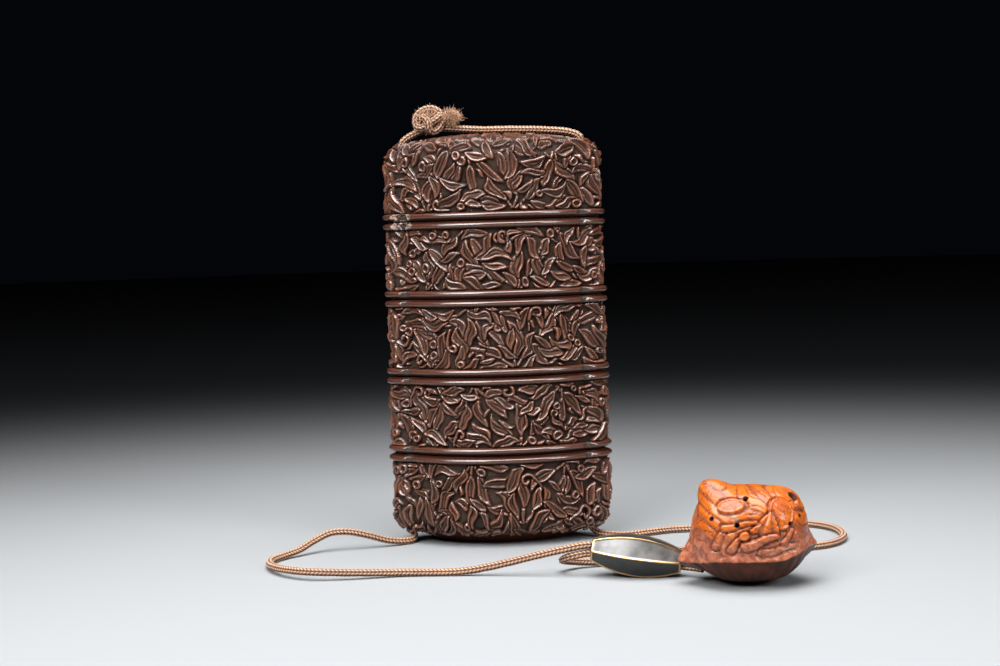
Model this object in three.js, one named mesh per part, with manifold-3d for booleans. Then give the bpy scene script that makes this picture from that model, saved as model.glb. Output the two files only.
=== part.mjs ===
// A carved wooden case of five stacked sections, worn on a silk cord, with its bead and toggle.
// Millimetres, +Z up. The origin is on the floor under the middle of the case, the front faces -Y.
import * as THREE from 'three';
import { mergeVertices } from 'three/addons/utils/BufferGeometryUtils.js';
import Module from 'manifold-3d';

const wasm = await Module();
wasm.setup();

// Case, measured over the beads at the joints
const caseWidth = 54;
const caseDepth = 28;
const baseHeight = 21.6;
const tierHeight = 18.55;
const tierNames = ['lower_tier', 'middle_tier', 'upper_tier'];
const lidHeight = 20.45;
const notchHalfSpan = 21.3;
const frontSwell = 7.5;

// Beads along the joints, standing out from the sunk ground of the carving
const beadProud = 1.5;
const beadHeight = 1.5;
const lipHeight = 0.45;
const jointGap = 0.3;

// Rounded shoulders and the low domes above and below
const shoulderRun = 5;
const shoulderHeight = 4.2;
const shoulderTurn = 1.3;
const lidDome = 2;
const baseDome = 2.9;
const standShare = 0.62;

// Hollow inside
const wall = 2.4;
const riserWall = 1.1;
const riserHeight = 4;
const riserClearance = 0.3;
const floorThickness = 1.8;
const crownThickness = 2.6;
const channelX = 21.6;
const channelRadius = 1.45;
const channelWeb = 0.6;

// Carved leaves
const sprigsPerFace = 4;
const leafLength = 10.5;
const leafWidth = 3.4;
const leafRise = 1.2;
const leafRoot = 0.55;
const fanAngle = 0.74;
const sprigMargin = 1.0;
const domeSprigs = 7;
const domeLeafRise = 0.8;

// Silk cord, bead and toggle
const cordRadius = 0.84;
const cordLie = 0.86;
const cordSides = 8;
const cordStep = 5.6;
const cordSpacing = 0.88;
const cordEndGap = 0.3;
const knotSize = [5.2, 3.1, 3];
const knotPlace = [-13.6, -0.2, 101.8];
const beadLength = 19.4;
const beadRadius = 4.7;
const beadEndRadius = 2.75;
const beadBore = 2.35;
const beadPlace = [31, -47.5, 4.42];
const beadTilt = 0.139;
const beadTurn = -0.114;
const toggleAxes = [12.1, 10.4, 9.8];
const toggleFullness = 2.5;
const togglePlace = [54.2, -56, 10.2];
const toggleWall = 2.4;
const togglePort = 2.6;

// Colours of the finishes
const finish = {
  wood: { color: 0x4a2a1c, roughness: 0.42, metalness: 0 },
  silk: { color: 0xb48a6c, roughness: 0.8, metalness: 0 },
  metal: { color: 0x5c5f62, roughness: 0.45, metalness: 0.8 },
  nut: { color: 0x9a4f22, roughness: 0.35, metalness: 0 },
};

const halfWidth = caseWidth / 2;
const halfDepth = caseDepth / 2;
const part = new THREE.Group();

function arcRadius(halfChord, rise) {
  return (halfChord * halfChord + rise * rise) / (2 * rise);
}

const faceArc = { radius: arcRadius(notchHalfSpan, frontSwell) };
faceArc.centre = faceArc.radius - halfDepth;
const endArc = { radius: arcRadius(halfDepth - frontSwell, halfWidth - notchHalfSpan) };
endArc.centre = halfWidth - endArc.radius;

// Where a face lobe and an end lobe meet, both drawn in by the same inset
function notchPoint(inset) {
  const faceRadius = faceArc.radius - inset;
  const endRadius = endArc.radius - inset;
  const apart = Math.hypot(endArc.centre, faceArc.centre);
  const along = (faceRadius ** 2 - endRadius ** 2 + apart ** 2) / (2 * apart);
  const aside = Math.sqrt(Math.max(0, faceRadius ** 2 - along ** 2));
  const ux = endArc.centre / apart;
  const uy = -faceArc.centre / apart;
  return new THREE.Vector2(along * ux + aside * uy, faceArc.centre + along * uy - aside * ux);
}

// The plan of the case: two broad lobes, two narrow ones, four sharp notches
function lobedPlan(inset) {
  const notch = notchPoint(inset);
  const faceHalf = Math.asin(notch.x / (faceArc.radius - inset));
  const endHalf = Math.atan2(-notch.y, notch.x - endArc.centre);
  const faceSteps = 6;
  const endSteps = 6;
  const points = [];
  for (const side of [1, -1]) {
    for (let i = 0; i < endSteps; i += 1) {
      const angle = -endHalf + (2 * endHalf * i) / endSteps;
      const radius = endArc.radius - inset;
      points.push(new THREE.Vector2(
        side * (endArc.centre + radius * Math.cos(angle)),
        side * radius * Math.sin(angle),
      ));
    }
    for (let i = 0; i < faceSteps; i += 1) {
      const angle = faceHalf - (2 * faceHalf * i) / faceSteps;
      const radius = faceArc.radius - inset;
      points.push(new THREE.Vector2(
        side * radius * Math.sin(angle),
        side * (radius * Math.cos(angle) - faceArc.centre),
      ));
    }
  }
  return points;
}

// The plan of the hollow and of what fits in it: two broad arcs with smooth round ends
function ovalPlan(inset, reach) {
  const faceRadius = faceArc.radius - inset;
  const short = faceRadius - reach;
  const endCentre = (faceArc.centre ** 2 - short ** 2) / (2 * short);
  const endRadius = reach - endCentre;
  const turn = Math.atan2(endCentre, faceArc.centre);
  const steps = 5;
  const points = [];
  for (const side of [1, -1]) {
    for (let i = 0; i < steps; i += 1) {
      const angle = (turn - Math.PI / 2) + ((Math.PI - 2 * turn) * i) / steps;
      points.push(new THREE.Vector2(
        side * (endCentre + endRadius * Math.cos(angle)),
        side * endRadius * Math.sin(angle),
      ));
    }
    for (let i = 0; i < steps; i += 1) {
      const angle = turn - (2 * turn * i) / steps;
      points.push(new THREE.Vector2(
        side * faceRadius * Math.sin(angle),
        side * (faceRadius * Math.cos(angle) - faceArc.centre),
      ));
    }
  }
  return points;
}

function ringAt(plan, z, shareX = 1, shareY = shareX) {
  return plan.map((p) => new THREE.Vector3(p.x * shareX, p.y * shareY, z));
}

// A closed solid through rings that run up in Z, each end filled to a middle point
function loft(rings, lowZ = rings[0][0].z, highZ = rings[rings.length - 1][0].z) {
  const count = rings[0].length;
  const positions = rings.flat().flatMap((p) => [p.x, p.y, p.z]);
  const index = [];
  for (let level = 0; level + 1 < rings.length; level += 1) {
    for (let i = 0; i < count; i += 1) {
      const a = level * count + i;
      const b = level * count + ((i + 1) % count);
      index.push(a, b, b + count, a, b + count, a + count);
    }
  }
  const low = rings.length * count;
  const high = low + 1;
  const top = (rings.length - 1) * count;
  positions.push(0, 0, lowZ, 0, 0, highZ);
  for (let i = 0; i < count; i += 1) {
    const next = (i + 1) % count;
    index.push(low, next, i, high, top + i, top + next);
  }
  const geometry = new THREE.BufferGeometry();
  geometry.setAttribute('position', new THREE.Float32BufferAttribute(positions, 3));
  geometry.setIndex(index);
  return geometry;
}

function toSolid(source) {
  const bare = source.clone();
  bare.deleteAttribute('normal');
  bare.deleteAttribute('uv');
  const merged = mergeVertices(bare, 1e-4);
  return new wasm.Manifold(new wasm.Mesh({
    numProp: 3,
    vertProperties: new Float32Array(merged.attributes.position.array),
    triVerts: new Uint32Array(merged.index.array),
  }));
}

function toGeometry(solid) {
  const mesh = solid.getMesh();
  const geometry = new THREE.BufferGeometry();
  geometry.setAttribute('position', new THREE.BufferAttribute(mesh.vertProperties, 3));
  geometry.setIndex(new THREE.BufferAttribute(mesh.triVerts, 1));
  geometry.computeVertexNormals();
  return geometry;
}

function addPiece(name, geometry, look) {
  const material = new THREE.MeshStandardMaterial(finish[look]);
  const mesh = new THREE.Mesh(geometry, material);
  mesh.name = name;
  part.add(mesh);
  return mesh;
}

function prism(plan, low, high) {
  return toSolid(loft([ringAt(plan, low), ringAt(plan, high)]));
}

// Everything inside is set back from the channel that the cord runs in
const recessReach = channelX - channelRadius - channelWeb;
const riserReach = recessReach - riserClearance;
const cavityReach = riserReach - riserWall;
const cavityInset = beadProud + wall;
const riserInset = cavityInset - riserWall;
const recessInset = riserInset - riserClearance;
const recessDepth = riserHeight + riserClearance;
const groundHalfWidth = halfWidth - beadProud;
const groundHalfDepth = halfDepth - beadProud;
const bandMargin = lipHeight + beadHeight;

// Rings of one half-round bead, from the joint inwards; direction is +1 upwards and -1 downwards
function beadRings(jointZ, direction) {
  const start = jointZ + (direction * jointGap) / 2;
  const lip = jointZ + direction * lipHeight;
  const rows = [
    [start, beadProud],
    [lip + direction * 0.25 * beadHeight, 0],
    [lip + direction * 0.75 * beadHeight, 0],
    [lip + direction * beadHeight, beadProud],
  ];
  const rings = rows.map(([z, inset]) => ringAt(lobedPlan(inset), z));
  return direction > 0 ? rings : rings.reverse();
}

// Rings of a rounded shoulder that turns over from the wall, from the wall to its far edge
function shoulderRings(wallZ, direction) {
  const plan = lobedPlan(beadProud);
  const steps = 3;
  const rings = [];
  for (let i = 0; i <= steps; i += 1) {
    const angle = (shoulderTurn * i) / steps;
    const inset = shoulderRun * (1 - Math.cos(angle));
    const z = wallZ + (direction * shoulderHeight * Math.sin(angle)) / Math.sin(shoulderTurn);
    rings.push(ringAt(plan, z, 1 - inset / groundHalfWidth, 1 - inset / groundHalfDepth));
  }
  return rings;
}

const edgeInset = shoulderRun * (1 - Math.cos(shoulderTurn));
const edgeShareX = 1 - edgeInset / groundHalfWidth;
const edgeShareY = 1 - edgeInset / groundHalfDepth;

// A point on the sunk ground of a face lobe: along the arc, up, and out from the ground
function onFace(side, along, z, out) {
  const radius = faceArc.radius - beadProud;
  const angle = along / radius;
  return new THREE.Vector3(
    -side * (radius + out) * Math.sin(angle),
    side * ((radius + out) * Math.cos(angle) - faceArc.centre),
    z,
  );
}

// The same on an end lobe
function onEnd(side, along, z, out) {
  const radius = endArc.radius - beadProud;
  const angle = along / radius;
  return new THREE.Vector3(
    side * (endArc.centre + (radius + out) * Math.cos(angle)),
    side * (radius + out) * Math.sin(angle),
    z,
  );
}

// The same on the dome of the lid, where along and up are plain X and Y
function onDome(topZ, x, y, out) {
  const share = Math.hypot(x / (groundHalfWidth * edgeShareX), y / (groundHalfDepth * edgeShareY));
  return new THREE.Vector3(x, y, topZ - lidDome * share * share + out);
}

// One pointed leaf that rises from its edge to a spine, its root sunk in the ground
function leafSolid(place, leaf) {
  const half = leaf.width / 2;
  const outline = [[-0.06, 0], [0.25, -1.1], [0.64, -0.95], [1.06, 0], [0.64, 0.95], [0.25, 1.1]];
  const spine = [[0.22, 0], [0.72, 0]];
  const cos = Math.cos(leaf.angle);
  const sin = Math.sin(leaf.angle);
  const at = ([share, across], out) => {
    const a = share * leaf.length;
    const b = across * half;
    return place(leaf.along + a * cos - b * sin, leaf.up + a * sin + b * cos, out);
  };
  const points = [...outline.map((p) => at(p, -leafRoot)), ...spine.map((p) => at(p, leaf.rise))];
  const [tail, tip] = [6, 7];
  const index = [0, 1, tail, 1, 2, tail, 2, tip, tail, 2, 3, tip, 3, 4, tip, 4, tail, tip];
  index.push(4, 5, tail, 5, 0, tail);
  for (let i = 1; i < 5; i += 1) index.push(0, i + 1, i);
  const geometry = new THREE.BufferGeometry();
  geometry.setAttribute('position', new THREE.Float32BufferAttribute(points.flatMap((p) => [p.x, p.y, p.z]), 3));
  geometry.setIndex(index);
  return toSolid(geometry);
}

// A spread of chances that never repeats: steps of the golden ratio
function chance(count) {
  const step = count * 0.6180339887;
  return step - Math.floor(step);
}

// Fans of three leaves, rooted in turn by the lower and the upper edge of a band
function sprigLeaves(seed, halfSpan, sprigs, lowZ, highZ) {
  const leaves = [];
  for (let i = 0; i < sprigs; i += 1) {
    const fromTop = (i + seed) % 2;
    const lean = (chance(11 * seed + 5 * i + 1) - 0.5) * 0.5;
    const along = halfSpan * ((2 * i + 1) / sprigs - 1) + (chance(7 * seed + 3 * i + 2) - 0.5) * 1.6;
    for (let j = -1; j <= 1; j += 1) {
      const size = leafLength * (0.86 + 0.2 * chance(13 * seed + 4 * i + j + 3) - 0.06 * Math.abs(j));
      const tilt = Math.PI / 2 + j * fanAngle + lean;
      leaves.push({
        along: along + 0.9 * Math.cos(tilt),
        up: fromTop ? highZ - 0.3 : lowZ + 0.3,
        angle: fromTop ? -tilt : tilt,
        length: Math.min(size, (highZ - lowZ - 0.6) / Math.abs(Math.sin(tilt))),
        width: leafWidth * (0.9 + 0.25 * chance(17 * seed + 2 * i + j + 4)),
        rise: leafRise,
      });
    }
  }
  return leaves;
}

// All the leaves on the wall of one section, between its lower and its upper edge
function wallLeaves(section, lowZ, highZ) {
  const notch = notchPoint(beadProud);
  const faceHalf = Math.asin(notch.x / (faceArc.radius - beadProud)) * (faceArc.radius - beadProud);
  const low = lowZ + sprigMargin * 0.3;
  const high = highZ - sprigMargin * 0.3;
  const leaves = [];
  for (const side of [1, -1]) {
    const seed = 2 * section + (side > 0 ? 1 : 0);
    const band = faceHalf - sprigMargin;
    for (const leaf of sprigLeaves(seed, band, sprigsPerFace, low, high)) {
      const reach = band - Math.abs(leaf.length * Math.cos(leaf.angle));
      const along = Math.max(-reach, Math.min(reach, leaf.along));
      const held = { ...leaf, along: Math.sign(leaf.along) * Math.min(Math.abs(leaf.along), band) };
      if (Math.abs(leaf.along + leaf.length * Math.cos(leaf.angle)) > band) held.along = along;
      leaves.push(leafSolid((a, z, out) => onFace(side, a, z, out), held));
    }
    for (const leaf of sprigLeaves(seed + 5, 0, 1, low, high)) {
      const slim = { ...leaf, width: 0.85 * leafWidth, angle: Math.sign(leaf.angle) * Math.PI / 2
        + 0.55 * (leaf.angle - Math.sign(leaf.angle) * Math.PI / 2) };
      leaves.push(leafSolid((a, z, out) => onEnd(side, a, z, out), slim));
    }
  }
  return leaves;
}

// Leaves that lie round the dome of the lid, tips outwards
function domeLeaves(topZ) {
  const leaves = [];
  for (let i = 0; i < domeSprigs; i += 1) {
    const turn = (2 * Math.PI * (i + 0.5 * chance(i + 1))) / domeSprigs;
    const angle = Math.atan2(groundHalfDepth * Math.sin(turn), groundHalfWidth * Math.cos(turn));
    const reach = 0.5 * (edgeShareX + edgeShareY);
    leaves.push(leafSolid((x, y, out) => onDome(topZ, x, y, out), {
      along: 0.3 * reach * groundHalfWidth * Math.cos(turn),
      up: 0.2 * reach * groundHalfDepth * Math.sin(turn),
      angle,
      length: 0.5 * reach * Math.hypot(groundHalfWidth * Math.cos(turn), groundHalfDepth * Math.sin(turn)),
      width: leafWidth,
      rise: domeLeafRise,
    }));
  }
  return leaves;
}

function cylinderSolid(radius, low, high, x) {
  const geometry = new THREE.CylinderGeometry(radius, radius, high - low, 8);
  geometry.rotateX(Math.PI / 2);
  geometry.translate(x, 0, (low + high) / 2);
  return toSolid(geometry);
}

// Cuts both cord channels and the hollow, after the leaves have been joined on
function hollowOut(blank, cuts, height) {
  let solid = blank;
  for (const cut of cuts) solid = solid.subtract(cut);
  for (const side of [-1, 1]) {
    solid = solid.subtract(cylinderSolid(channelRadius, -1, height + 1, side * channelX));
  }
  return toGeometry(solid);
}

function withLeaves(blank, leaves) {
  return leaves.reduce((solid, leaf) => solid.add(leaf), blank);
}

function riserSolid(height) {
  const plan = ovalPlan(riserInset, riserReach);
  return prism(plan, height - floorThickness, height + riserHeight);
}

function cavityCut(low, high) {
  return prism(ovalPlan(cavityInset, cavityReach), low, high);
}

function recessCut() {
  return prism(ovalPlan(recessInset, recessReach), -1, recessDepth);
}

function makeTier(name, section, z) {
  const rings = [...beadRings(0, 1), ...beadRings(tierHeight, -1)];
  const leaves = wallLeaves(section, bandMargin, tierHeight - bandMargin);
  const blank = withLeaves(toSolid(loft(rings)), leaves).add(riserSolid(tierHeight));
  const cuts = [recessCut(), cavityCut(recessDepth + floorThickness, tierHeight + riserHeight + 1)];
  addPiece(name, hollowOut(blank, cuts, tierHeight), 'wood').position.z = z;
}

function makeBase() {
  const wallZ = baseDome + shoulderHeight;
  const stand = ringAt(lobedPlan(beadProud), 0, edgeShareX * standShare, edgeShareY * standShare);
  const rings = [stand, ...shoulderRings(wallZ, -1).reverse(), ...beadRings(baseHeight, -1)];
  const leaves = wallLeaves(0, wallZ - 0.4 * shoulderHeight, baseHeight - bandMargin);
  const blank = withLeaves(toSolid(loft(rings)), leaves).add(riserSolid(baseHeight));
  const floorZ = baseDome + crownThickness;
  const cuts = [cavityCut(floorZ, baseHeight + riserHeight + 1)];
  addPiece('base_section', hollowOut(blank, cuts, baseHeight), 'wood');
}

function makeLid(z) {
  const wallZ = lidHeight - lidDome - shoulderHeight;
  const middle = ringAt(lobedPlan(beadProud), lidHeight - 0.3 * lidDome, 0.55 * edgeShareX, 0.55 * edgeShareY);
  const rings = [...beadRings(0, 1), ...shoulderRings(wallZ, 1), middle];
  const leaves = wallLeaves(tierNames.length + 1, bandMargin, wallZ + 0.4 * shoulderHeight);
  const carved = withLeaves(toSolid(loft(rings, rings[0][0].z, lidHeight)), leaves);
  const blank = withLeaves(carved, domeLeaves(lidHeight));
  const cuts = [recessCut(), cavityCut(-1, lidHeight - lidDome - crownThickness)];
  addPiece('lid', hollowOut(blank, cuts, lidHeight), 'wood').position.z = z;
}

const firstJoint = baseHeight;
const lidJoint = baseHeight + tierNames.length * tierHeight;
makeBase();
tierNames.forEach((name, i) => makeTier(name, i + 1, firstJoint + i * tierHeight));
makeLid(lidJoint);

// A cord is an eight-sided tube along a smooth curve through its points
function makeCord(name, points) {
  const curve = new THREE.CatmullRomCurve3(points.map((p) => new THREE.Vector3(...p)), false, 'centripetal');
  const section = new THREE.Shape();
  for (let i = 0; i < cordSides; i += 1) {
    const angle = (2 * Math.PI * (i + 0.5)) / cordSides;
    const move = i === 0 ? 'moveTo' : 'lineTo';
    section[move](cordRadius * Math.cos(angle), cordRadius * Math.sin(angle));
  }
  const straight = curve.getLength() - curve.getPoint(0).distanceTo(curve.getPoint(1)) < 0.01;
  const steps = straight ? 2 : Math.round(curve.getLength() / cordStep);
  const geometry = new THREE.ExtrudeGeometry(section, { steps, extrudePath: curve, bevelEnabled: false });
  addPiece(name, geometry, 'silk');
}

// Height of the case's surface round a channel mouth, above or below
const mouthLow = baseDome + 0.3;
const mouthHigh = lidJoint + lidHeight - lidDome - 0.1;
const lidTop = lidJoint + lidHeight;

for (const [name, side] of [['cord_through_left_side', -1], ['cord_through_right_side', 1]]) {
  const low = mouthLow + cordEndGap;
  const high = mouthHigh - cordEndGap;
  makeCord(name, [0, 0.5, 1].map((t) => [side * channelX, 0, low + t * (high - low)]));
}

makeCord('cord_over_lid_left', [
  [-channelX, 0, mouthHigh],
  [-channelX, 0, mouthHigh + 0.8],
  [-20.9, 0, lidTop - 0.5],
  [-19.7, 0, lidTop + 0.3],
  [-18.4, 0, lidTop + 0.9],
]);
makeCord('cord_over_lid_right', [
  [-7.9, 0, lidTop + 1.8],
  [-3, 0, lidTop + 1.4],
  [6, 0, lidTop + 1.2],
  [14, 0, lidTop + 0.8],
  [18.4, 0, lidTop + 0.3],
  [20.8, 0, lidTop - 0.5],
  [channelX, 0, mouthHigh + 0.8],
  [channelX, 0, mouthHigh],
]);

// The knot: a lump of turns, wider than high
function makeKnot() {
  const geometry = new THREE.SphereGeometry(1, 10, 7);
  geometry.rotateX(Math.PI / 2);
  const position = geometry.attributes.position;
  for (let i = 0; i < position.count; i += 1) {
    const p = new THREE.Vector3().fromBufferAttribute(position, i);
    const swell = 1 + 0.09 * Math.sin(3.2 * p.x + 2 * p.z) * Math.cos(2.6 * p.y - p.z);
    position.setXYZ(i, ...['x', 'y', 'z'].map((axis, k) => p[axis] * swell * knotSize[k]));
  }
  const mesh = addPiece('cord_knot', toGeometry(toSolid(geometry)), 'silk');
  mesh.position.set(...knotPlace);
}
makeKnot();

// The bead: a six-sided spindle with a bore for both strands
function beadPoint(along, aside, up) {
  const place = new THREE.Vector3(along, aside, up);
  place.applyEuler(new THREE.Euler(0, beadTilt, beadTurn, 'ZYX'));
  return place.add(new THREE.Vector3(...beadPlace)).toArray();
}

function makeBead() {
  const half = beadLength / 2;
  const profile = [new THREE.Vector2(beadBore, -half)];
  const steps = 6;
  for (let i = 0; i <= steps; i += 1) {
    const t = (2 * i) / steps - 1;
    const radius = beadEndRadius + (beadRadius - beadEndRadius) * (1 - t * t);
    profile.push(new THREE.Vector2(radius, t * half));
  }
  profile.push(new THREE.Vector2(beadBore, half), new THREE.Vector2(beadBore, -half));
  const geometry = new THREE.LatheGeometry(profile, 6);
  geometry.rotateZ(-Math.PI / 2);
  geometry.rotateX(Math.PI / 6);
  const mesh = addPiece('cord_bead', toGeometry(toSolid(geometry)), 'metal');
  mesh.rotation.set(0, beadTilt, beadTurn, 'ZYX');
  mesh.position.set(...beadPlace);
}
makeBead();

const strandHalf = beadLength / 2;
const portPoint = [45.4, -51.2, 2.9];

// Each strand lies on the floor, rises into the bead, runs through it and into the toggle
makeCord('cord_left_run', [
  [-channelX, 0, mouthLow],
  [-channelX, -0.15, mouthLow - 1],
  [-21.3, -1.9, 1.2],
  [-22.1, -4.8, cordLie],
  [-24.4, -6.6, 1],
  [-27.4, -8, 1.6],
  [-31.6, -9.6, 3.1],
  [-36.2, -11, 4.3],
  [-40.2, -12.2, 4.3],
  [-43.9, -14.6, 2.9],
  [-46.8, -17.8, 1.5],
  [-49.8, -21.6, 0.95],
  [-51.6, -25.6, cordLie],
  [-51.3, -31.2, 1.05],
  [-48.7, -37.6, 1.45],
  [-44.3, -42.6, 1.75],
  [-39.1, -45.4, 1.85],
  [-31.9, -45.4, 1.55],
  [-20.3, -43.3, 0.95],
  [-7.2, -43.5, 0.95],
  [-0.9, -43.9, 1.9],
  [4, -44.4, 3],
  [9.4, -45, 4.3],
  [15, -45.7, 5.6],
  beadPoint(-strandHalf, 0, cordSpacing),
  beadPoint(0, 0, cordSpacing),
  beadPoint(strandHalf + 0.4, 0, cordSpacing),
  [portPoint[0] + 0.3, portPoint[1], portPoint[2] + cordSpacing],
]);
makeCord('cord_right_run', [
  [channelX, 0, mouthLow],
  [channelX + 0.1, -0.05, mouthLow - 1],
  [22.9, -0.8, 1.2],
  [25.8, -2.4, cordLie],
  [30.2, -3.4, cordLie],
  [35.4, -0.8, cordLie],
  [40.6, 1.8, cordLie],
  [47, 2.9, cordLie],
  [57, 4.6, cordLie],
  [66.8, 6.4, cordLie],
  [74.2, 5.8, cordLie],
  [79, 0.6, cordLie],
  [80.6, -7, cordLie],
  [79.4, -14.4, cordLie],
  [75.6, -20.4, cordLie],
  [69.4, -23.6, cordLie],
  [60, -23.4, cordLie],
  [51, -22, cordLie],
  [43, -23.4, cordLie],
  [36.4, -27.6, cordLie],
  [30, -32.6, cordLie],
  [23.6, -36.4, 0.95],
  [18.2, -38.4, 1.5],
  [15, -41.8, 2.6],
  [16.6, -45.6, 4],
  beadPoint(-strandHalf, 0, -cordSpacing),
  beadPoint(0, 0, -cordSpacing),
  beadPoint(strandHalf + 0.4, 0, -cordSpacing),
  [portPoint[0] - 0.5, portPoint[1], portPoint[2] - cordSpacing],
]);

// The toggle: a hollow carved nut, with a knob, a pointed tip, a flat left side and a swollen right end
const toggleSwells = [
  { toward: [-0.62, -0.1, 0.79], height: 3.3, spread: 0.28 },
  { toward: [-0.93, 0, -0.37], height: 3.1, spread: 0.2 },
  { toward: [-0.93, 0, 0.36], height: -1.1, spread: 0.3 },
  { toward: [0.98, 0, -0.2], height: 1.7, spread: 0.2 },
  { toward: [0.72, -0.1, 0.69], height: 1.1, spread: 0.32 },
];

function toggleRadius(direction) {
  const [ax, ay, az] = toggleAxes;
  const squared = [direction.x / ax, direction.y / ay, direction.z / az]
    .reduce((sum, share) => sum + Math.abs(share) ** toggleFullness, 0);
  let radius = squared ** (-1 / toggleFullness);
  for (const swell of toggleSwells) {
    const angle = direction.angleTo(new THREE.Vector3(...swell.toward));
    radius += swell.height * Math.exp(-((angle / swell.spread) ** 2));
  }
  const seam = Math.exp(-(((direction.z + 0.33) / 0.09) ** 2));
  const scoop = direction.z < -0.42 ? 0.25 * Math.cos(14 * Math.atan2(direction.y, direction.x)) : 0;
  return radius + 0.7 * seam + scoop;
}

function toggleShell(drawIn, rows, columns) {
  const geometry = new THREE.SphereGeometry(1, columns, rows);
  geometry.rotateX(Math.PI / 2);
  const position = geometry.attributes.position;
  for (let i = 0; i < position.count; i += 1) {
    const p = new THREE.Vector3().fromBufferAttribute(position, i).normalize();
    const radius = toggleRadius(p) - drawIn;
    const floorZ = drawIn - togglePlace[2];
    position.setXYZ(i, p.x * radius, p.y * radius, Math.max(floorZ, p.z * radius));
  }
  return toSolid(geometry);
}

function portCut(toward, radius, depth) {
  const direction = new THREE.Vector3(...toward).normalize();
  const geometry = new THREE.CylinderGeometry(radius, radius, depth, 8);
  geometry.applyQuaternion(new THREE.Quaternion().setFromUnitVectors(new THREE.Vector3(0, 1, 0), direction));
  const middle = direction.multiplyScalar(toggleAxes[0]);
  geometry.translate(middle.x, middle.y, middle.z);
  return toSolid(geometry);
}

function makeToggle() {
  let solid = toggleShell(0, 12, 22).subtract(toggleShell(toggleWall, 6, 10));
  const port = new THREE.Vector3(...portPoint).sub(new THREE.Vector3(...togglePlace)).toArray();
  solid = solid.subtract(portCut(port, togglePort, 12));
  const pierced = [[-0.12, -0.55, 0.8], [0.55, -0.5, 0.62], [-0.62, -0.75, 0.25], [0.35, -0.9, 0.15]];
  for (const toward of pierced) solid = solid.subtract(portCut(toward, 1.3, 10));
  addPiece('toggle', toGeometry(solid), 'nut').position.set(...togglePlace);
}
makeToggle();

export default part;
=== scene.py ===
# %% [markdown]
# # A carved wooden case in five sections, on its silk cord
# The case is a stack of five sections that fit into each other. One silk cord runs up through both
# narrow ends, is knotted over the lid, and comes together again in a metal bead and a carved toggle.
# The plain solids come from the frame. This file dresses them: the cords first, then the bead, the
# toggle and the five carved sections. All places are in millimetres, turned into metres at the end.

# %% Load the frame
import math
import bpy
import numpy as np
from mathutils import Matrix


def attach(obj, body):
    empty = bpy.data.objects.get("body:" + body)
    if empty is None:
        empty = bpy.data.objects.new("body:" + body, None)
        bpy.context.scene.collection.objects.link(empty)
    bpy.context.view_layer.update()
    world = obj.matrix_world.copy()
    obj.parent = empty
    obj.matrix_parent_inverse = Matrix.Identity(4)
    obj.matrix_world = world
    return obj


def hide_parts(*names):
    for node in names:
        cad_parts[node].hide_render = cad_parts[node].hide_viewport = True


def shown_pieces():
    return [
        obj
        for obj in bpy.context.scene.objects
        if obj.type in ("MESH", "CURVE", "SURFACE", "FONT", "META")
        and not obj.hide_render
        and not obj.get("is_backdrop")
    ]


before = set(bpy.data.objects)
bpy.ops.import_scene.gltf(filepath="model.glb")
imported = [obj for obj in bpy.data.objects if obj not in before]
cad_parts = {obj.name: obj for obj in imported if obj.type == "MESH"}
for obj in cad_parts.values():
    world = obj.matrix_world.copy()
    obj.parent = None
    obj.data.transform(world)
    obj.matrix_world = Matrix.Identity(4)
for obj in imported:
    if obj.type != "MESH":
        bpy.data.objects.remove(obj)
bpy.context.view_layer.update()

MM = 0.001
scene = bpy.context.scene

# %% [markdown]
# ## Camera
# The picture was taken from a little under half a metre, level with the upper part of the case, with
# the horizon well above the middle of the frame. A level camera with a vertical shift keeps upright
# edges upright, which a tilted one would not. A small roll follows the lean of the picture.

# %% Camera at the picture's viewing angle
FOCAL_PX = 1733.0
IMAGE_WIDTH = 1000
IMAGE_HEIGHT = 666
HORIZON_ROW = 219.4
CAMERA_DISTANCE = 420.0
CAMERA_HEIGHT = 77.2
CAMERA_ASIDE = 1.6
camera_turn = math.radians(2.8)
camera_roll = math.radians(1.74)
right = np.array([math.cos(camera_turn), math.sin(camera_turn), 0])
ahead = np.array([-math.sin(camera_turn), math.cos(camera_turn), 0])
up = np.array([0.0, 0.0, 1.0])
eye = -CAMERA_DISTANCE * ahead + CAMERA_HEIGHT * up + CAMERA_ASIDE * right
rolled_right = math.cos(camera_roll) * right - math.sin(camera_roll) * up
rolled_up = math.sin(camera_roll) * right + math.cos(camera_roll) * up
camera_data = bpy.data.cameras.new("camera")
camera_data.sensor_width = 36
camera_data.lens = 36 * FOCAL_PX / IMAGE_WIDTH
camera_data.shift_y = (HORIZON_ROW - IMAGE_HEIGHT / 2) / IMAGE_WIDTH
camera_data.clip_start = 0.01
camera = bpy.data.objects.new("camera", camera_data)
pose = Matrix(np.column_stack([rolled_right, rolled_up, -ahead]).tolist()).to_4x4()
pose.translation = eye * MM
camera.matrix_world = pose
scene.collection.objects.link(camera)
scene.camera = camera
print("lens", round(camera_data.lens, 2), "mm, shift", round(camera_data.shift_y, 4))

# %% [markdown]
# ## Small helpers
# Every piece below is worked out as arrays of points and faces. One function turns the arrays into a
# Blender object, stores named values on its points for the materials to read, and lets it ride on the
# part's only body. A second one eases a value from 0 to 1, for soft borders everywhere, and a third
# lists the faces of a stack of rings, which is how nearly every surface here is built.

# %% Mesh and easing helpers
def make_piece(name, points, faces, values=None, replaced=()):
    mesh = bpy.data.meshes.new(name)
    mesh.from_pydata(np.asarray(points) * MM, [], faces)
    for value_name, value in (values or {}).items():
        stored = mesh.attributes.new(value_name, "FLOAT", "POINT")
        stored.data.foreach_set("value", np.asarray(value, dtype=np.float32).ravel())
    mesh.shade_smooth()
    piece = bpy.data.objects.new(name, mesh)
    scene.collection.objects.link(piece)
    if replaced:
        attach(piece, "root")
        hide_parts(*replaced)
    return piece


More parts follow.
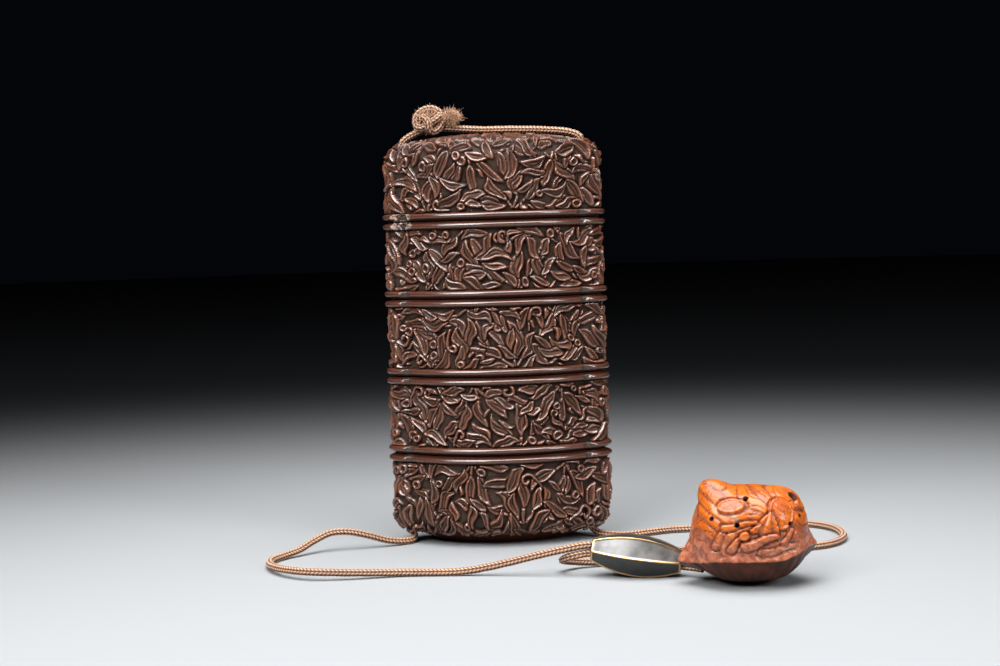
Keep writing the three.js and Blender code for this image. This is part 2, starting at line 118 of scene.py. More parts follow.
def ease(value, low=0.0, high=1.0):
    share = np.clip((value - low) / (high - low), 0, 1)
    return share * share * (3 - 2 * share)


# %% Grid of faces for a tube or a ring of columns
def tube_faces(rows, columns):
    row, column = np.meshgrid(np.arange(rows - 1), np.arange(columns), indexing="ij")
    beside = (column + 1) % columns
    corners = [row * columns + column, row * columns + beside]
    corners += [(row + 1) * columns + beside, (row + 1) * columns + column]
    return np.stack(corners, axis=-1).reshape(-1, 4)


print("a grid of 3 rows by 4 columns has", len(tube_faces(3, 4)), "faces")

# %% [markdown]
# ## Silk cord
# The cord is a round braid of silk, 1.7 mm thick, limp and old. It lies in loose curves on the floor.
# It could be a plain curve with a bump map, but the braid shows in the outline, so each cord is a mesh
# tube: rings are set along a smooth route, and the radius swells with six rows of slanting stitches,
# turned left and right by turns as in a real braid.
# The routes pass through the same points as the cords in the part's source.

# %% A smooth route through given points
def smooth_route(points, spacing):
    points = np.asarray(points, dtype=float)
    first = 2 * points[0] - points[1]
    last = 2 * points[-1] - points[-2]
    padded = np.vstack([first, points, last])
    dense = []
    for i in range(1, len(padded) - 2):
        before, start, end, after = padded[i - 1:i + 3]
        gaps = [np.linalg.norm(b - a) ** 0.5 for a, b in ((before, start), (start, end), (end, after))]
        leave = (start - before) / gaps[0] - (end - before) / (gaps[0] + gaps[1]) + (end - start) / gaps[1]
        reach = (end - start) / gaps[1] - (after - start) / (gaps[1] + gaps[2]) + (after - end) / gaps[2]
        leave, reach = leave * gaps[1], reach * gaps[1]
        t = np.linspace(0, 1, 40, endpoint=False)[:, None]
        curve = start + leave * t + (3 * (end - start) - 2 * leave - reach) * t ** 2
        dense.append(curve + (2 * (start - end) + leave + reach) * t ** 3)
    dense = np.vstack(dense + [points[-1:]])
    run = np.concatenate([[0], np.cumsum(np.linalg.norm(np.diff(dense, axis=0), axis=1))])
    steps = np.linspace(0, run[-1], max(3, round(run[-1] / spacing) + 1))
    return np.column_stack([np.interp(steps, run, dense[:, k]) for k in range(3)]), steps


# %% Frames that follow a route without twisting
def route_frames(route):
    tangent = np.gradient(route, axis=0)
    tangent /= np.linalg.norm(tangent, axis=1)[:, None]
    side = np.cross(tangent[0], [0.13, 0.31, 0.94])
    sides = []
    for direction in tangent:
        side = side - direction * np.dot(side, direction)
        side /= np.linalg.norm(side)
        sides.append(side)
    sides = np.array(sides)
    return sides, np.cross(tangent, sides)


# %% Braided tube
CORD_RADIUS = 0.84
STITCH_ROWS = 6
STITCH_PITCH = 0.86
STITCH_SLANT = 0.9
CORE_SHARE, ROW_SHARE, STITCH_SHARE = 0.79, 0.07, 0.17
TOUCH = 0.02


def braided_tube(points, spacing=0.18, sides=24, radius=CORD_RADIUS):
    route, run = smooth_route(points, spacing)
    across, upward = route_frames(route)
    turn = np.arange(sides) / sides
    row_share = (turn * STITCH_ROWS) % 1
    row_side = 1 - 2 * (np.floor(turn * STITCH_ROWS) % 2)
    run_grid, turn_grid = np.meshgrid(run, turn, indexing="ij")
    seam = np.sin(np.pi * row_share)[None, :] ** 0.5
    phase = run_grid / STITCH_PITCH + STITCH_SLANT * (row_share - 0.5)[None, :] * row_side[None, :]
    stitch = np.abs(np.sin(np.pi * phase)) ** 0.75
    wobble = 1 + 0.03 * np.sin(run_grid * 0.9 + 3 * np.sin(run_grid * 0.23)) * np.cos(2 * np.pi * turn_grid)
    swell = radius * wobble * (CORE_SHARE + ROW_SHARE * seam + STITCH_SHARE * stitch * seam)
    angle = 2 * np.pi * turn_grid
    ring = np.cos(angle)[..., None] * across[:, None] + np.sin(angle)[..., None] * upward[:, None]
    surface = route[:, None] + swell[..., None] * ring
    surface[..., 2] = np.maximum(surface[..., 2], TOUCH)
    faces = tube_faces(len(route), sides).tolist()
    faces.append(list(range(sides))[::-1])
    faces.append([(len(route) - 1) * sides + i for i in range(sides)])
    values = {"stitch": stitch * np.ones_like(run_grid), "seam": seam * np.ones_like(run_grid)}
    return surface.reshape(-1, 3), faces, values, route, run[-1]


# %% [markdown]
# The bead sits askew on the cord, its far end lower. Both strands pass through it side by side, so the
# cord routes need its place before it is made: one function gives a point in the bead's own axes.

# %% Where the bead sits
BEAD_LENGTH = 19.4
BEAD_PLACE = np.array([31, -47.5, 4.42])
BEAD_TILT = 0.139
BEAD_TURN = -0.114
CORD_SPACING = 0.88
PORT_POINT = np.array([45.4, -51.2, 2.9])
half_bead = BEAD_LENGTH / 2


def bead_axes():
    cos_tilt, sin_tilt = math.cos(BEAD_TILT), math.sin(BEAD_TILT)
    cos_turn, sin_turn = math.cos(BEAD_TURN), math.sin(BEAD_TURN)
    tilt = np.array([[cos_tilt, 0, sin_tilt], [0, 1, 0], [-sin_tilt, 0, cos_tilt]])
    turn = np.array([[cos_turn, -sin_turn, 0], [sin_turn, cos_turn, 0], [0, 0, 1]])
    return turn @ tilt


def bead_point(along, aside, upward):
    return bead_axes() @ np.array([along, aside, upward]) + BEAD_PLACE


print("bead ends at", bead_point(-half_bead, 0, 0).round(1), bead_point(half_bead, 0, 0).round(1))

# %% Routes of the two strands on the floor
LIE = 0.86
CHANNEL_X = 21.6
MOUTH_LOW = 3.2
left_points = [
    [-CHANNEL_X, 0, MOUTH_LOW], [-CHANNEL_X, -0.15, 2.2], [-21.3, -1.9, 1.2], [-22.1, -4.8, LIE],
    [-24.4, -6.6, 1], [-27.4, -8, 1.6], [-31.6, -9.6, 3.1], [-36.2, -11, 4.3], [-40.2, -12.2, 4.3],
    [-43.9, -14.6, 2.9], [-46.8, -17.8, 1.5], [-49.8, -21.6, 0.95], [-51.6, -25.6, LIE],
    [-51.3, -31.2, 1.05], [-48.7, -37.6, 1.45], [-44.3, -42.6, 1.75], [-39.1, -45.4, 1.85],
    [-31.9, -45.4, 1.55], [-20.3, -43.3, 0.95], [-7.2, -43.5, 0.95], [-0.9, -43.9, 1.9], [4, -44.4, 3],
    [9.4, -45, 4.3], [15, -45.7, 5.6],
    bead_point(-half_bead, 0, CORD_SPACING), bead_point(0, 0, CORD_SPACING),
    bead_point(half_bead + 0.4, 0, CORD_SPACING), PORT_POINT + [0.3, 0, CORD_SPACING],
]
right_points = [
    [CHANNEL_X, 0, MOUTH_LOW], [21.7, -0.05, 2.2], [22.9, -0.8, 1.2], [25.8, -2.4, LIE], [30.2, -3.4, LIE],
    [35.4, -0.8, LIE], [40.6, 1.8, LIE], [47, 2.9, LIE], [57, 4.6, LIE], [66.8, 6.4, LIE],
    [74.2, 5.8, LIE], [79, 0.6, LIE], [80.6, -7, LIE], [79.4, -14.4, LIE], [75.6, -20.4, LIE],
    [69.4, -23.6, LIE], [60, -23.4, LIE], [51, -22, LIE], [43, -23.4, LIE], [36.4, -27.6, LIE],
    [30, -32.6, LIE], [23.6, -36.4, 0.95], [18.2, -38.4, 1.5], [15, -41.8, 2.6], [16.6, -45.6, 4],
    bead_point(-half_bead, 0, -CORD_SPACING), bead_point(0, 0, -CORD_SPACING),
    bead_point(half_bead + 0.4, 0, -CORD_SPACING), PORT_POINT + [-0.5, 0, -CORD_SPACING],
]

# %% The strands on the floor
strands = {}
for name, points, node in (
    ("cord_left_strand", left_points, "cord_left_run"),
    ("cord_right_strand", right_points, "cord_right_run"),
):
    surface, faces, values, route, length = braided_tube(points)
    piece = make_piece(name, surface, faces, values, [node])
    strands[name] = (piece, route, length)
    print(name, round(length, 1), "mm,", len(faces), "faces")

# %% [markdown]
# Over the lid the cord comes out of one narrow end, runs into the knot and goes taut to the other end.
# It rests on the carving. The knot itself is a separate piece round it.

# %% The cord over the lid
LID_TOP = 97.7
MOUTH_HIGH = 95.6
lid_points = [
    [-CHANNEL_X, 0, MOUTH_HIGH], [-CHANNEL_X, 0, MOUTH_HIGH + 0.8], [-20.9, 0, LID_TOP - 0.5],
    [-19.7, 0, LID_TOP + 0.3], [-18.4, 0, LID_TOP + 0.9], [-15.5, 0, LID_TOP + 1.8],
    [-11.5, 0, LID_TOP + 2.1], [-7.9, 0, LID_TOP + 1.8], [-3, 0, LID_TOP + 1.4],
    [6, 0, LID_TOP + 1.2], [14, 0, LID_TOP + 0.8], [18.4, 0, LID_TOP + 0.3],
    [20.8, 0, LID_TOP - 0.5], [CHANNEL_X, 0, MOUTH_HIGH + 0.8],
    [CHANNEL_X, 0, MOUTH_HIGH],
]
surface, faces, values, lid_route, lid_length = braided_tube(lid_points)
lid_cord = make_piece(
    "cord_over_lid", surface, faces, values, ["cord_over_lid_left", "cord_over_lid_right"]
)
print("cord over the lid", round(lid_length, 1), "mm")

# %% [markdown]
# ## Knot
# The knot is one strand wound round the other: a loop stands up on the left, two turns cross in the
# middle, and the cut end has frayed into a tuft of loose silk. A rope simulation could tie it, but a
# single route laid over and under itself gives the same turns and stays easy to change. A short
# full turn behind closes the loop. The old silk has gone fluffy, so short fibres stand off the turns.

# %% Turns of the knot
knot_points = [
    [-18.6, 0.9, 98.9], [-16.4, 1.2, 99.3], [-13.8, 0.9, 99.2], [-12, 0.3, 100.2], [-11.8, -0.2, 102],
    [-12.5, -0.4, 103.7], [-14.4, -0.5, 104.5], [-16.6, -0.5, 104], [-18, -0.6, 102.3], [-17.9, -1, 100.5],
    [-16.6, -1.8, 99.9], [-14.9, -2.2, 100.7], [-13.2, -2.1, 101.7], [-12.1, -1.3, 102.7],
    [-13.1, -0.2, 103], [-14.9, 0.9, 102.8], [-16.3, 0.9, 101.7], [-16.7, -0.6, 101.8], [-15.9, -1.9, 102.2],
    [-15, -2.6, 101.2], [-14.7, -2.5, 99.6], [-13.9, -1.7, 98.9], [-12.5, -1.4, 99.6], [-11.7, -1, 101],
    [-10.6, -0.7, 102],
]
hidden_turn = [
    [-17.4, 0.7, 100.3], [-16.6, 1, 101.9], [-15.1, 1.2, 102.6], [-13.5, 1, 101.7], [-13.2, 0.8, 100.2],
]
KNOT_SPACING = 0.24
KNOT_RADIUS = 0.9
HIDDEN_RADIUS = 1.05
surface, faces, values, _, knot_length = braided_tube(knot_points, KNOT_SPACING, radius=KNOT_RADIUS)
behind = braided_tube(hidden_turn, KNOT_SPACING, radius=HIDDEN_RADIUS)[:3]
print("the knot takes", round(knot_length, 1), "mm of cord")

# %% Loose fibres round a point
FIBRE_WIDTH = 0.085
FIBRE_STEPS = 4
FIBRE_SIDES = 3


def loose_fibres(root, toward, spread, longest, count, seed, tone):
    chance = np.random.default_rng(seed)
    points, faces = [], []
    for _ in range(count):
        aim = np.array(toward) + chance.normal(0, 0.75, 3)
        aim /= np.linalg.norm(aim)
        reach = chance.uniform(0.5, 1) * longest
        start = np.array(root) + aim * spread * chance.uniform(0.1, 1) + chance.normal(0, 0.15, 3)
        curl = chance.normal(0, 0.5 * longest, 3)
        side = np.cross(aim, [0.2, 0.9, 0.4])
        side /= np.linalg.norm(side)
        other = np.cross(aim, side)
        base = len(points)
        for share in np.linspace(0, 1, FIBRE_STEPS):
            centre = start + aim * reach * share + curl * share ** 2
            width = FIBRE_WIDTH * (1 - 0.7 * share)
            for corner in range(FIBRE_SIDES):
                angle = 2 * math.pi * corner / FIBRE_SIDES
                points.append(centre + width * (math.cos(angle) * side + math.sin(angle) * other))
        faces.extend((tube_faces(FIBRE_STEPS, FIBRE_SIDES) + base).tolist())
    tones = np.full(len(points), tone)
    return np.array(points), faces, {"stitch": tones, "seam": tones}


# %% The knot with its tuft and fluff
tuft = loose_fibres([-9.8, -0.7, 102.2], [0.25, -0.1, 0.1], [1.9, 1.2, 1.3], 1.05, 1700, 5, 0.9)
fluff = loose_fibres([-15, -0.7, 101.9], [0, -0.2, 0.1], [3.3, 2.2, 2.9], 0.75, 1000, 6, 1.0)
values = {k: v.ravel() for k, v in values.items()}
for more, more_faces, more_values in (behind, tuft, fluff):
    shift = len(surface)
    surface = np.vstack([surface, more])
    faces = faces + [[i + shift for i in face] for face in more_faces]
    values = {k: np.concatenate([v, more_values[k].ravel()]) for k, v in values.items()}
knot = make_piece("knot", surface, faces, values, ["cord_knot"])
print("knot and tuft have", len(faces), "faces")

# %% [markdown]
# ## Shader helpers
# Materials below mix several masks: how high a point of the carving is, how deep in a groove, how worn.
# Writing that maths as Python expressions is easier to read than a chain of node calls. A wire stands
# for one socket, and adding or multiplying two wires adds the Math node that does it.

# %% A wire that does shader maths
class Wire:
    def __init__(self, finish, socket):
        self.finish = finish
        self.socket = socket

    def math(self, operation, *others):
        inputs = {i: value for i, value in enumerate((self, *others))}
        return self.finish.node("ShaderNodeMath", {"operation": operation}, inputs)

    def __add__(self, other):
        return self.math("ADD", other)

    def __mul__(self, other):
        return self.math("MULTIPLY", other)

    def __sub__(self, other):
        return self.math("SUBTRACT", other)

    def __rsub__(self, other):
        return self.finish.node("ShaderNodeMath", {"operation": "SUBTRACT"}, {0: other, 1: self})

    def __pow__(self, other):
        return self.math("POWER", other)

    __radd__ = __add__
    __rmul__ = __mul__


# %% A finish that builds one material
class Finish:
    def __init__(self, name, **fixed):
        self.material = bpy.data.materials.new(name)
        self.material.use_nodes = True
        self.nodes = self.material.node_tree.nodes
        self.shader = self.nodes["Principled BSDF"]
        for socket, value in fixed.items():
            self.shader.inputs[socket.replace("_", " ")].default_value = value

    def put(self, socket, value):
        if isinstance(value, Wire):
            self.material.node_tree.links.new(value.socket, socket)
        else:
            socket.default_value = value

    def node(self, kind, settings=None, inputs=None, output=0):
        made = self.nodes.new(kind)
        for key, value in (settings or {}).items():
            setattr(made, key, value)
        for key, value in (inputs or {}).items():
            self.put(made.inputs[key], value)
        return Wire(self, made.outputs[output])

    def feed(self, **sockets):
        for socket, value in sockets.items():
            self.put(self.shader.inputs[socket.replace("_", " ")], value)

    def dress(self, *pieces):
        for piece in pieces:
            piece.data.materials.clear()
            piece.data.materials.append(self.material)

    def stored(self, name):
        return self.node("ShaderNodeAttribute", {"attribute_name": name}, output="Fac")

    def place(self):
        return self.node("ShaderNodeTexCoord", output="Object")

    def upward(self):
        return self.node("ShaderNodeSeparateXYZ", None, {0: self.place()}, 2)

    def noise(self, size_mm, detail=3, rough=0.5):
        inputs = {"Vector": self.place(), "Scale": 1000 / size_mm, "Detail": detail}
        return self.node("ShaderNodeTexNoise", None, {**inputs, "Roughness": rough})

    def ease(self, value, low, high):
        inputs = {"Value": value, "From Min": low, "From Max": high}
        return self.node("ShaderNodeMapRange", {"interpolation_type": "SMOOTHSTEP"}, inputs)

    def mix(self, share, first, second):
        made = {"data_type": "RGBA", "clamp_factor": True}
        return self.node("ShaderNodeMix", made, {0: share, 6: first, 7: second}, output=2)

    def bump(self, height, depth_mm, strength):
        inputs = {"Height": height, "Distance": depth_mm * MM, "Strength": strength}
        return self.node("ShaderNodeBump", None, inputs)


# %% [markdown]
# ## Silk
# The silk was once gold and has faded to tan, with painted dark brown shade in the dips between the
# stitches. Silk scatters light softly at its edge, which the sheen of the shader gives. Fine noise stands
# for single threads, and a slow one makes some stretches darker from handling.

# %% Silk finish
silk = Finish("faded_silk", Roughness=0.66, Sheen_Weight=0.15, Sheen_Roughness=0.4, IOR=1.45)
stitch = silk.stored("stitch")
seam = silk.stored("seam")
handled = silk.ease(silk.noise(14), 0.35, 0.7)
threads = silk.noise(0.16, 2)
lit = silk.mix(handled, (0.60, 0.355, 0.215, 1), (0.50, 0.29, 0.18, 1))
# painted shade: dark brown in the dips between the stitches
painted_dip_shade = silk.mix(handled, (0.085, 0.030, 0.015, 1), (0.065, 0.024, 0.014, 1))
weave = silk.ease(stitch * seam + 0.3 * threads, 0.42, 1.0)
silk.feed(
    Base_Color=silk.mix(weave, painted_dip_shade, lit),
    Normal=silk.bump(threads + 1.5 * weave, 0.05, 0.7),
)
cords = [lid_cord, knot] + [strand[0] for strand in strands.values()]
cords += [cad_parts[node] for node in ("cord_through_left_side", "cord_through_right_side")]
silk.dress(*cords)
print("silk on", len(cords), "pieces")

# %% [markdown]
# ## Bead
# The bead is a six-sided metal spindle. Its panels are dark, each worn pale and cloudy in its own degree,
# and the upper front panel is left palest as painted sheen and the lower front one darkest as painted shade.
# The ribs between them and the rims at both ends are gilt and rubbed. It is a grid of rings round
# the cord's axis: columns crowd at the ribs, and the radius rises there by a fifth of a millimetre.

# %% Bead shape
BEAD_RADIUS = 4.7
BEAD_END_RADIUS = 2.4
BEAD_BORE = 1.95
# pale share per panel, partly wear and partly painted sheen: the upper front panel (third) palest, the lower
# front one darkest
PANEL_WEAR_AND_SHEEN = (0.7, 0.3, 1, 0, 0.4, 0.6)
PANEL_TURN = np.pi / 3
RIB_WIDTH, RIM_WIDTH, RIB_RISE = 0.26, 0.45, 0.17


def bead_rings():
    panel = np.linspace(-1, 1, 25)[:-1]
    shaped = np.sign(panel) * (1 - (1 - np.abs(panel)) ** 1.6)
    angles = np.concatenate([(k + 0.5 * shaped) * PANEL_TURN for k in range(6)]) + PANEL_TURN / 2
    from_rib = np.abs((angles / PANEL_TURN + 0.5) % 1 - 0.5) * PANEL_TURN
    flat = math.cos(PANEL_TURN / 2) / np.cos(angles % PANEL_TURN - PANEL_TURN / 2)
    share = np.linspace(-1, 1, 64)
    profile = BEAD_END_RADIUS + (BEAD_RADIUS - BEAD_END_RADIUS) * (1 - share ** 2)
    rib = np.exp(-((from_rib[None, :] * profile[:, None] / RIB_WIDTH) ** 4))
    rim = np.exp(-(((1 - np.abs(share)) * half_bead / RIM_WIDTH) ** 4))[:, None]
    hollow = 0.036 * np.cos(3 * from_rib / PANEL_TURN)[None, :] - 0.03
    gilt = np.maximum(rib, rim)
    radius = 0.972 * profile[:, None] * flat[None, :] + RIB_RISE * gilt + hollow
    worn = np.array(PANEL_WEAR_AND_SHEEN)[np.floor(angles / PANEL_TURN).astype(int) % 6] * np.ones_like(rib)
    along = share[:, None] * half_bead * np.ones_like(rib)
    return angles, along, radius, gilt, worn


def with_bore_edges(grid, first, last):
    return np.vstack([first, grid, last])


angles, along, radius, gilt, worn = bead_rings()
bore_edge = np.full((1, len(angles)), BEAD_BORE)
radius = with_bore_edges(radius, bore_edge, bore_edge)
along, gilt, worn = [with_bore_edges(grid, grid[:1], grid[-1:]) for grid in (along, gilt, worn)]
local = np.stack([along, radius * np.cos(angles), radius * np.sin(angles)], axis=-1).reshape(-1, 3)
faces = tube_faces(len(along), len(angles)).tolist()
columns, last = len(angles), (len(along) - 1) * len(angles)
faces += [[i, last + i, last + (i + 1) % columns, (i + 1) % columns] for i in range(columns)]
bead_values = {"gilt": gilt, "worn": worn}
bead = make_piece("bead", local @ bead_axes().T + BEAD_PLACE, faces, bead_values, ["cord_bead"])
print("bead radius", radius.max().round(2), "mm")

# %% Bead finish
metal = Finish("bead_metal", IOR=1.7)
gilt = metal.stored("gilt")
smudge = metal.noise(2.4, 4)
rubbed = metal.ease(gilt + 0.35 * (smudge - 0.5), 0.45, 0.62)
dark = metal.mix(metal.ease(smudge, 0.3, 0.75), (0.007, 0.007, 0.007, 1), (0.018, 0.017, 0.016, 1))
pale_wear_and_sheen = metal.mix(metal.ease(metal.noise(3, 3), 0.3, 0.7), (0.045, 0.043, 0.040, 1), (0.135, 0.13, 0.125, 1))
# the stored worn value mixes in the pale tone: wear, with painted sheen on the upper front panel
dark = metal.mix(metal.stored("worn"), dark, pale_wear_and_sheen)
metal.feed(
    Base_Color=metal.mix(rubbed, dark, (0.58, 0.37, 0.16, 1)),
    Metallic=0.1 + 0.9 * rubbed,
    Roughness=0.33 - 0.03 * rubbed + 0.16 * (smudge - 0.5),
    Normal=metal.bump(metal.noise(0.5, 3), 0.02, 0.5),
)
metal.dress(bead)

# %% [markdown]
# ## Cutting helper
# Sections and toggle are hollow. Their outsides are fine meshes, and the hollows are cut with Boolean
# modifiers and the manifold solver, which is fast and keeps the stored values. It needs closed surfaces
# that face outward. On cut faces every stored value is 0, which the finishes leave plain.

# %% Cut and join closed shapes
def closed_shape(points, faces):
    mesh = bpy.data.meshes.new("cutter")
    mesh.from_pydata(np.asarray(points) * MM, [], [list(face) for face in faces])
    cutter = bpy.data.objects.new("cutter", mesh)
    scene.collection.objects.link(cutter)
    return cutter


def shape_with(piece, steps):
    for operation, cutter in steps:
        change = piece.modifiers.new("shape", "BOOLEAN")
        change.operation = operation
        change.solver = "MANIFOLD"
        change.object = cutter
    shaped = bpy.data.meshes.new_from_object(piece.evaluated_get(bpy.context.evaluated_depsgraph_get()))
    piece.modifiers.clear()
    old, name = piece.data, piece.data.name
    piece.data = shaped
    bpy.data.meshes.remove(old)
    shaped.name = name
    shaped.shade_smooth()
    for _, cutter in steps:
        bpy.data.meshes.remove(cutter.data)


# %% Straight prisms and round borers
def prism(plan, low, high):
    count = len(plan)
    points = [[x, y, z] for z in (low, high) for x, y in plan]
    faces = tube_faces(2, count).tolist()
    return points, faces + [list(range(count))[::-1], list(range(count, 2 * count))]


def borer(start, end, radius, taper=1.0, sides=24):
    start, end = np.array(start, float), np.array(end, float)
    aim = (end - start) / np.linalg.norm(end - start)
    side = np.cross(aim, [0.31, 0.17, 0.93])
    side /= np.linalg.norm(side)
    other = np.cross(aim, side)
    angle = 2 * np.pi * np.arange(sides) / sides
    ring = np.cos(angle)[:, None] * side + np.sin(angle)[:, None] * other
    points = np.vstack([start + radius * ring, end + radius * taper * ring])
    faces = tube_faces(2, sides).tolist()
    return points, faces + [list(range(sides))[::-1], list(range(sides, 2 * sides))]


# %% [markdown]
# ## Toggle
# The toggle is a hollow nut, carved above and left as a smooth dark bowl below, with a crest between.
# It is pierced, so the wall shows in the holes. The carving is low: a field of folds with a few bold
# rounded forms laid over it. A radius over all directions describes such a shape well, so a fine
# globe of directions is pushed out by that radius, and the holes are bored through it afterwards.

# %% Toggle body
TOGGLE_AXES = np.array([12.1, 10.4, 9.8])
TOGGLE_PLACE = np.array([54.2, -56, 10.2])
TOGGLE_FULLNESS = 2.5
SWELLS = [
    ((-0.62, -0.1, 0.79), 3.3, 0.28), ((-0.93, 0, -0.37), 3.1, 0.2), ((-0.93, 0, 0.36), -1.1, 0.3),
    ((0.98, 0, -0.2), 1.7, 0.2), ((0.72, -0.1, 0.69), 1.1, 0.32),
]
TOGGLE_WALL = 2.4
FRONT, BACK = -1, 1


def toggle_radius(aim):
    radius = (np.abs(aim / TOGGLE_AXES) ** TOGGLE_FULLNESS).sum(-1) ** (-1 / TOGGLE_FULLNESS)
    for toward, height, spread in SWELLS:
        toward = np.array(toward) / np.linalg.norm(toward)
        angle = np.arccos(np.clip(aim @ toward, -1, 1))
        radius = radius + height * np.exp(-((angle / spread) ** 2))
    return radius


def toggle_depth(x, z, least=0.0):
    share = 1 - np.abs(x / TOGGLE_AXES[0]) ** TOGGLE_FULLNESS
    share = share - np.abs(z / TOGGLE_AXES[2]) ** TOGGLE_FULLNESS
    return TOGGLE_AXES[1] * max(share, least) ** (1 / TOGGLE_FULLNESS)


def globe(rows, columns):
    level = np.linspace(0, np.pi, rows + 1)[1:-1]
    turn = 2 * np.pi * np.arange(columns) / columns
    level, turn = np.meshgrid(level, turn, indexing="ij")
    aims = np.stack([np.sin(level) * np.cos(turn), np.sin(level) * np.sin(turn), -np.cos(level)], -1)
    aims = np.vstack([aims.reshape(-1, 3), [[0, 0, -1], [0, 0, 1]]])
    faces = tube_faces(rows - 1, columns).tolist()
    last = (rows - 2) * columns
    low, high = len(aims) - 2, len(aims) - 1
    faces += [[low, (i + 1) % columns, i] for i in range(columns)]
    faces += [[high, last + i, last + (i + 1) % columns] for i in range(columns)]
    return aims, faces


toggle_aims, toggle_faces = globe(150, 310)
body_radius = toggle_radius(toggle_aims)
print("toggle directions", len(toggle_aims), "radius", body_radius.min().round(1), body_radius.max().round(1))

# %% Layers of carving on the toggle
class Layers:
    def __init__(self, points, base):
        self.points = points
        self.height = base
        self.crest = np.zeros(len(points))
        self.groove = np.zeros(len(points))

    def local(self, centre, lean=0.0):
        x, z, side = centre
        middle = np.array([x, side * toggle_depth(x, z), z])
        out = middle / np.linalg.norm(middle)
        east = np.cross([0, 0, 1.0], out)
        east /= np.linalg.norm(east)
        north = np.cross(out, east)
        away = self.points - middle
        s, t = away @ east, away @ north
        seen = (self.points / np.linalg.norm(self.points, axis=1)[:, None]) @ out > 0.35
        cos, sin = math.cos(lean), math.sin(lean)
        return s * cos + t * sin, t * cos - s * sin, seen

    def lay(self, edge, height, crest, seen, cut=0.5):
        edge = np.where(seen, edge, -9)
        near = 1 - ease(-edge, 0, cut)
        under = self.height - 0.55 * near
        shown = ease(edge, 0, 0.3)
        self.height = np.where(edge > 0, under + (height - under) * shown, under)
        self.crest = np.where(edge > 0, crest * shown, self.crest * (1 - near))
        # groove marks painted shade at the foot of each laid form
        self.groove = np.where(edge > 0, self.groove * (1 - shown), np.maximum(self.groove, near ** 2))


toggle_points = toggle_aims * body_radius[:, None]
x, y, z = toggle_points.T
seam_level = -4 - 1.3 * (1 - ease(x, -13, -6)) + 1.8 * ease(x, 5, 12)
above = ease(z - seam_level, -0.25, 0.35)
flow = 0.75 * x + 1.05 * z + 1.2 * np.sin(0.42 * x + 0.3 * y) + 0.9 * np.sin(0.55 * z - 0.4 * y)
folds = np.abs(np.sin(0.95 * flow)) ** 0.7
fine = 0.5 + 0.5 * np.sin(5.5 * flow)
layers = Layers(toggle_points, above * (0.25 + 0.15 * folds + 0.05 * fine))
layers.crest = above * folds ** 3

# %% Discs, pleats and bands
def disc(centre, wide, high, lean, rise):
    s, t, seen = layers.local(centre, lean)
    reach = np.hypot(s / wide, t / high)
    edge = (1 - reach) * high
    rim = np.exp(-(((1 - reach) * high - 0.35) / 0.24) ** 2)
    layers.lay(edge, rise * (0.7 + 0.3 * (1 - reach ** 2)) + 0.28 * rim, 0.4 + 0.6 * rim, seen)


def pleats(centre, reach, lean, spread, count, rise):
    s, t, seen = layers.local(centre, lean)
    far = np.hypot(s, t)
    angle = np.arctan2(t, s)
    limit = reach * (1 + 0.07 * np.cos(count * angle))
    edge = np.minimum(limit - far, (spread - np.abs(angle)) * np.maximum(far, 0.4))
    ribs = 0.5 + 0.5 * np.cos(count * angle)
    layers.lay(edge, rise * (0.55 + 0.35 * far / reach) + 0.3 * ribs * ease(far, 0.4, 1.6), ribs, seen)


def band(start, end, side, width, rise, cuffs=0.0):
    middle = ((start[0] + end[0]) / 2, (start[1] + end[1]) / 2, side)
    lean = math.atan2(end[1] - start[1], (end[0] - start[0]) * -side)
    half = 0.5 * math.hypot(end[0] - start[0], end[1] - start[1])
    s, t, seen = layers.local(middle, lean)
    t = t - 0.2 * width * np.sin(1.1 * s)
    broad = width * (1.15 - 0.35 * np.clip(s / half, -1, 1))
    off = np.hypot(np.maximum(np.abs(s) - half + broad, 0), t)
    edge = broad - off
    body = np.sqrt(np.clip(1 - (off / broad) ** 4, 0, 1)) * (0.85 + 0.15 * t / broad)
    rings = cuffs * (0.5 + 0.5 * np.cos(2 * np.pi * s / 1.1))
    layers.lay(edge, rise * (0.25 + 0.75 * body) + 0.16 * rings, 0.3 + 0.7 * body ** 3, seen, 0.4)


for row, level in enumerate((-1.6, 1.6, 4.9)):
    for k in range(5):
        pleats((-6 + 4 * k + 1.3 * (row % 2), level + 1.4, BACK), 3.1, -1.57, 1.3, 9, 0.4)
disc((-4.1, 7.1, FRONT), 3.1, 1.9, 0.3, 0.4)
disc((6.1, 5.5, FRONT), 2.7, 3.6, -0.35, 0.65)
pleats((3.9, 6.2, FRONT), 5.6, -1.98, 0.62, 12, 0.55)
disc((9.9, 6.2, FRONT), 1.5, 1.2, -0.5, 0.4)
band((-8.2, -1.8), (-5.6, 2.6), FRONT, 0.7, 0.5)
band((-6.6, 2.4), (1.2, 4.4), FRONT, 0.6, 0.55)
band((-5.2, -2.2), (-2.2, 1.0), FRONT, 0.75, 0.7)
band((1.0, -2.8), (9.6, -0.8), FRONT, 0.7, 0.45)
band((5.8, -1.0), (8.8, 2.4), FRONT, 0.6, 0.5)
disc((-1.7, 1.2, FRONT), 1.25, 1.0, 0.4, 0.95)
band((-2.6, -1.3), (5.2, 1.3), FRONT, 0.85, 1.0, 0.4)
print("carving on the toggle rises to", layers.height.max().round(2), "mm")

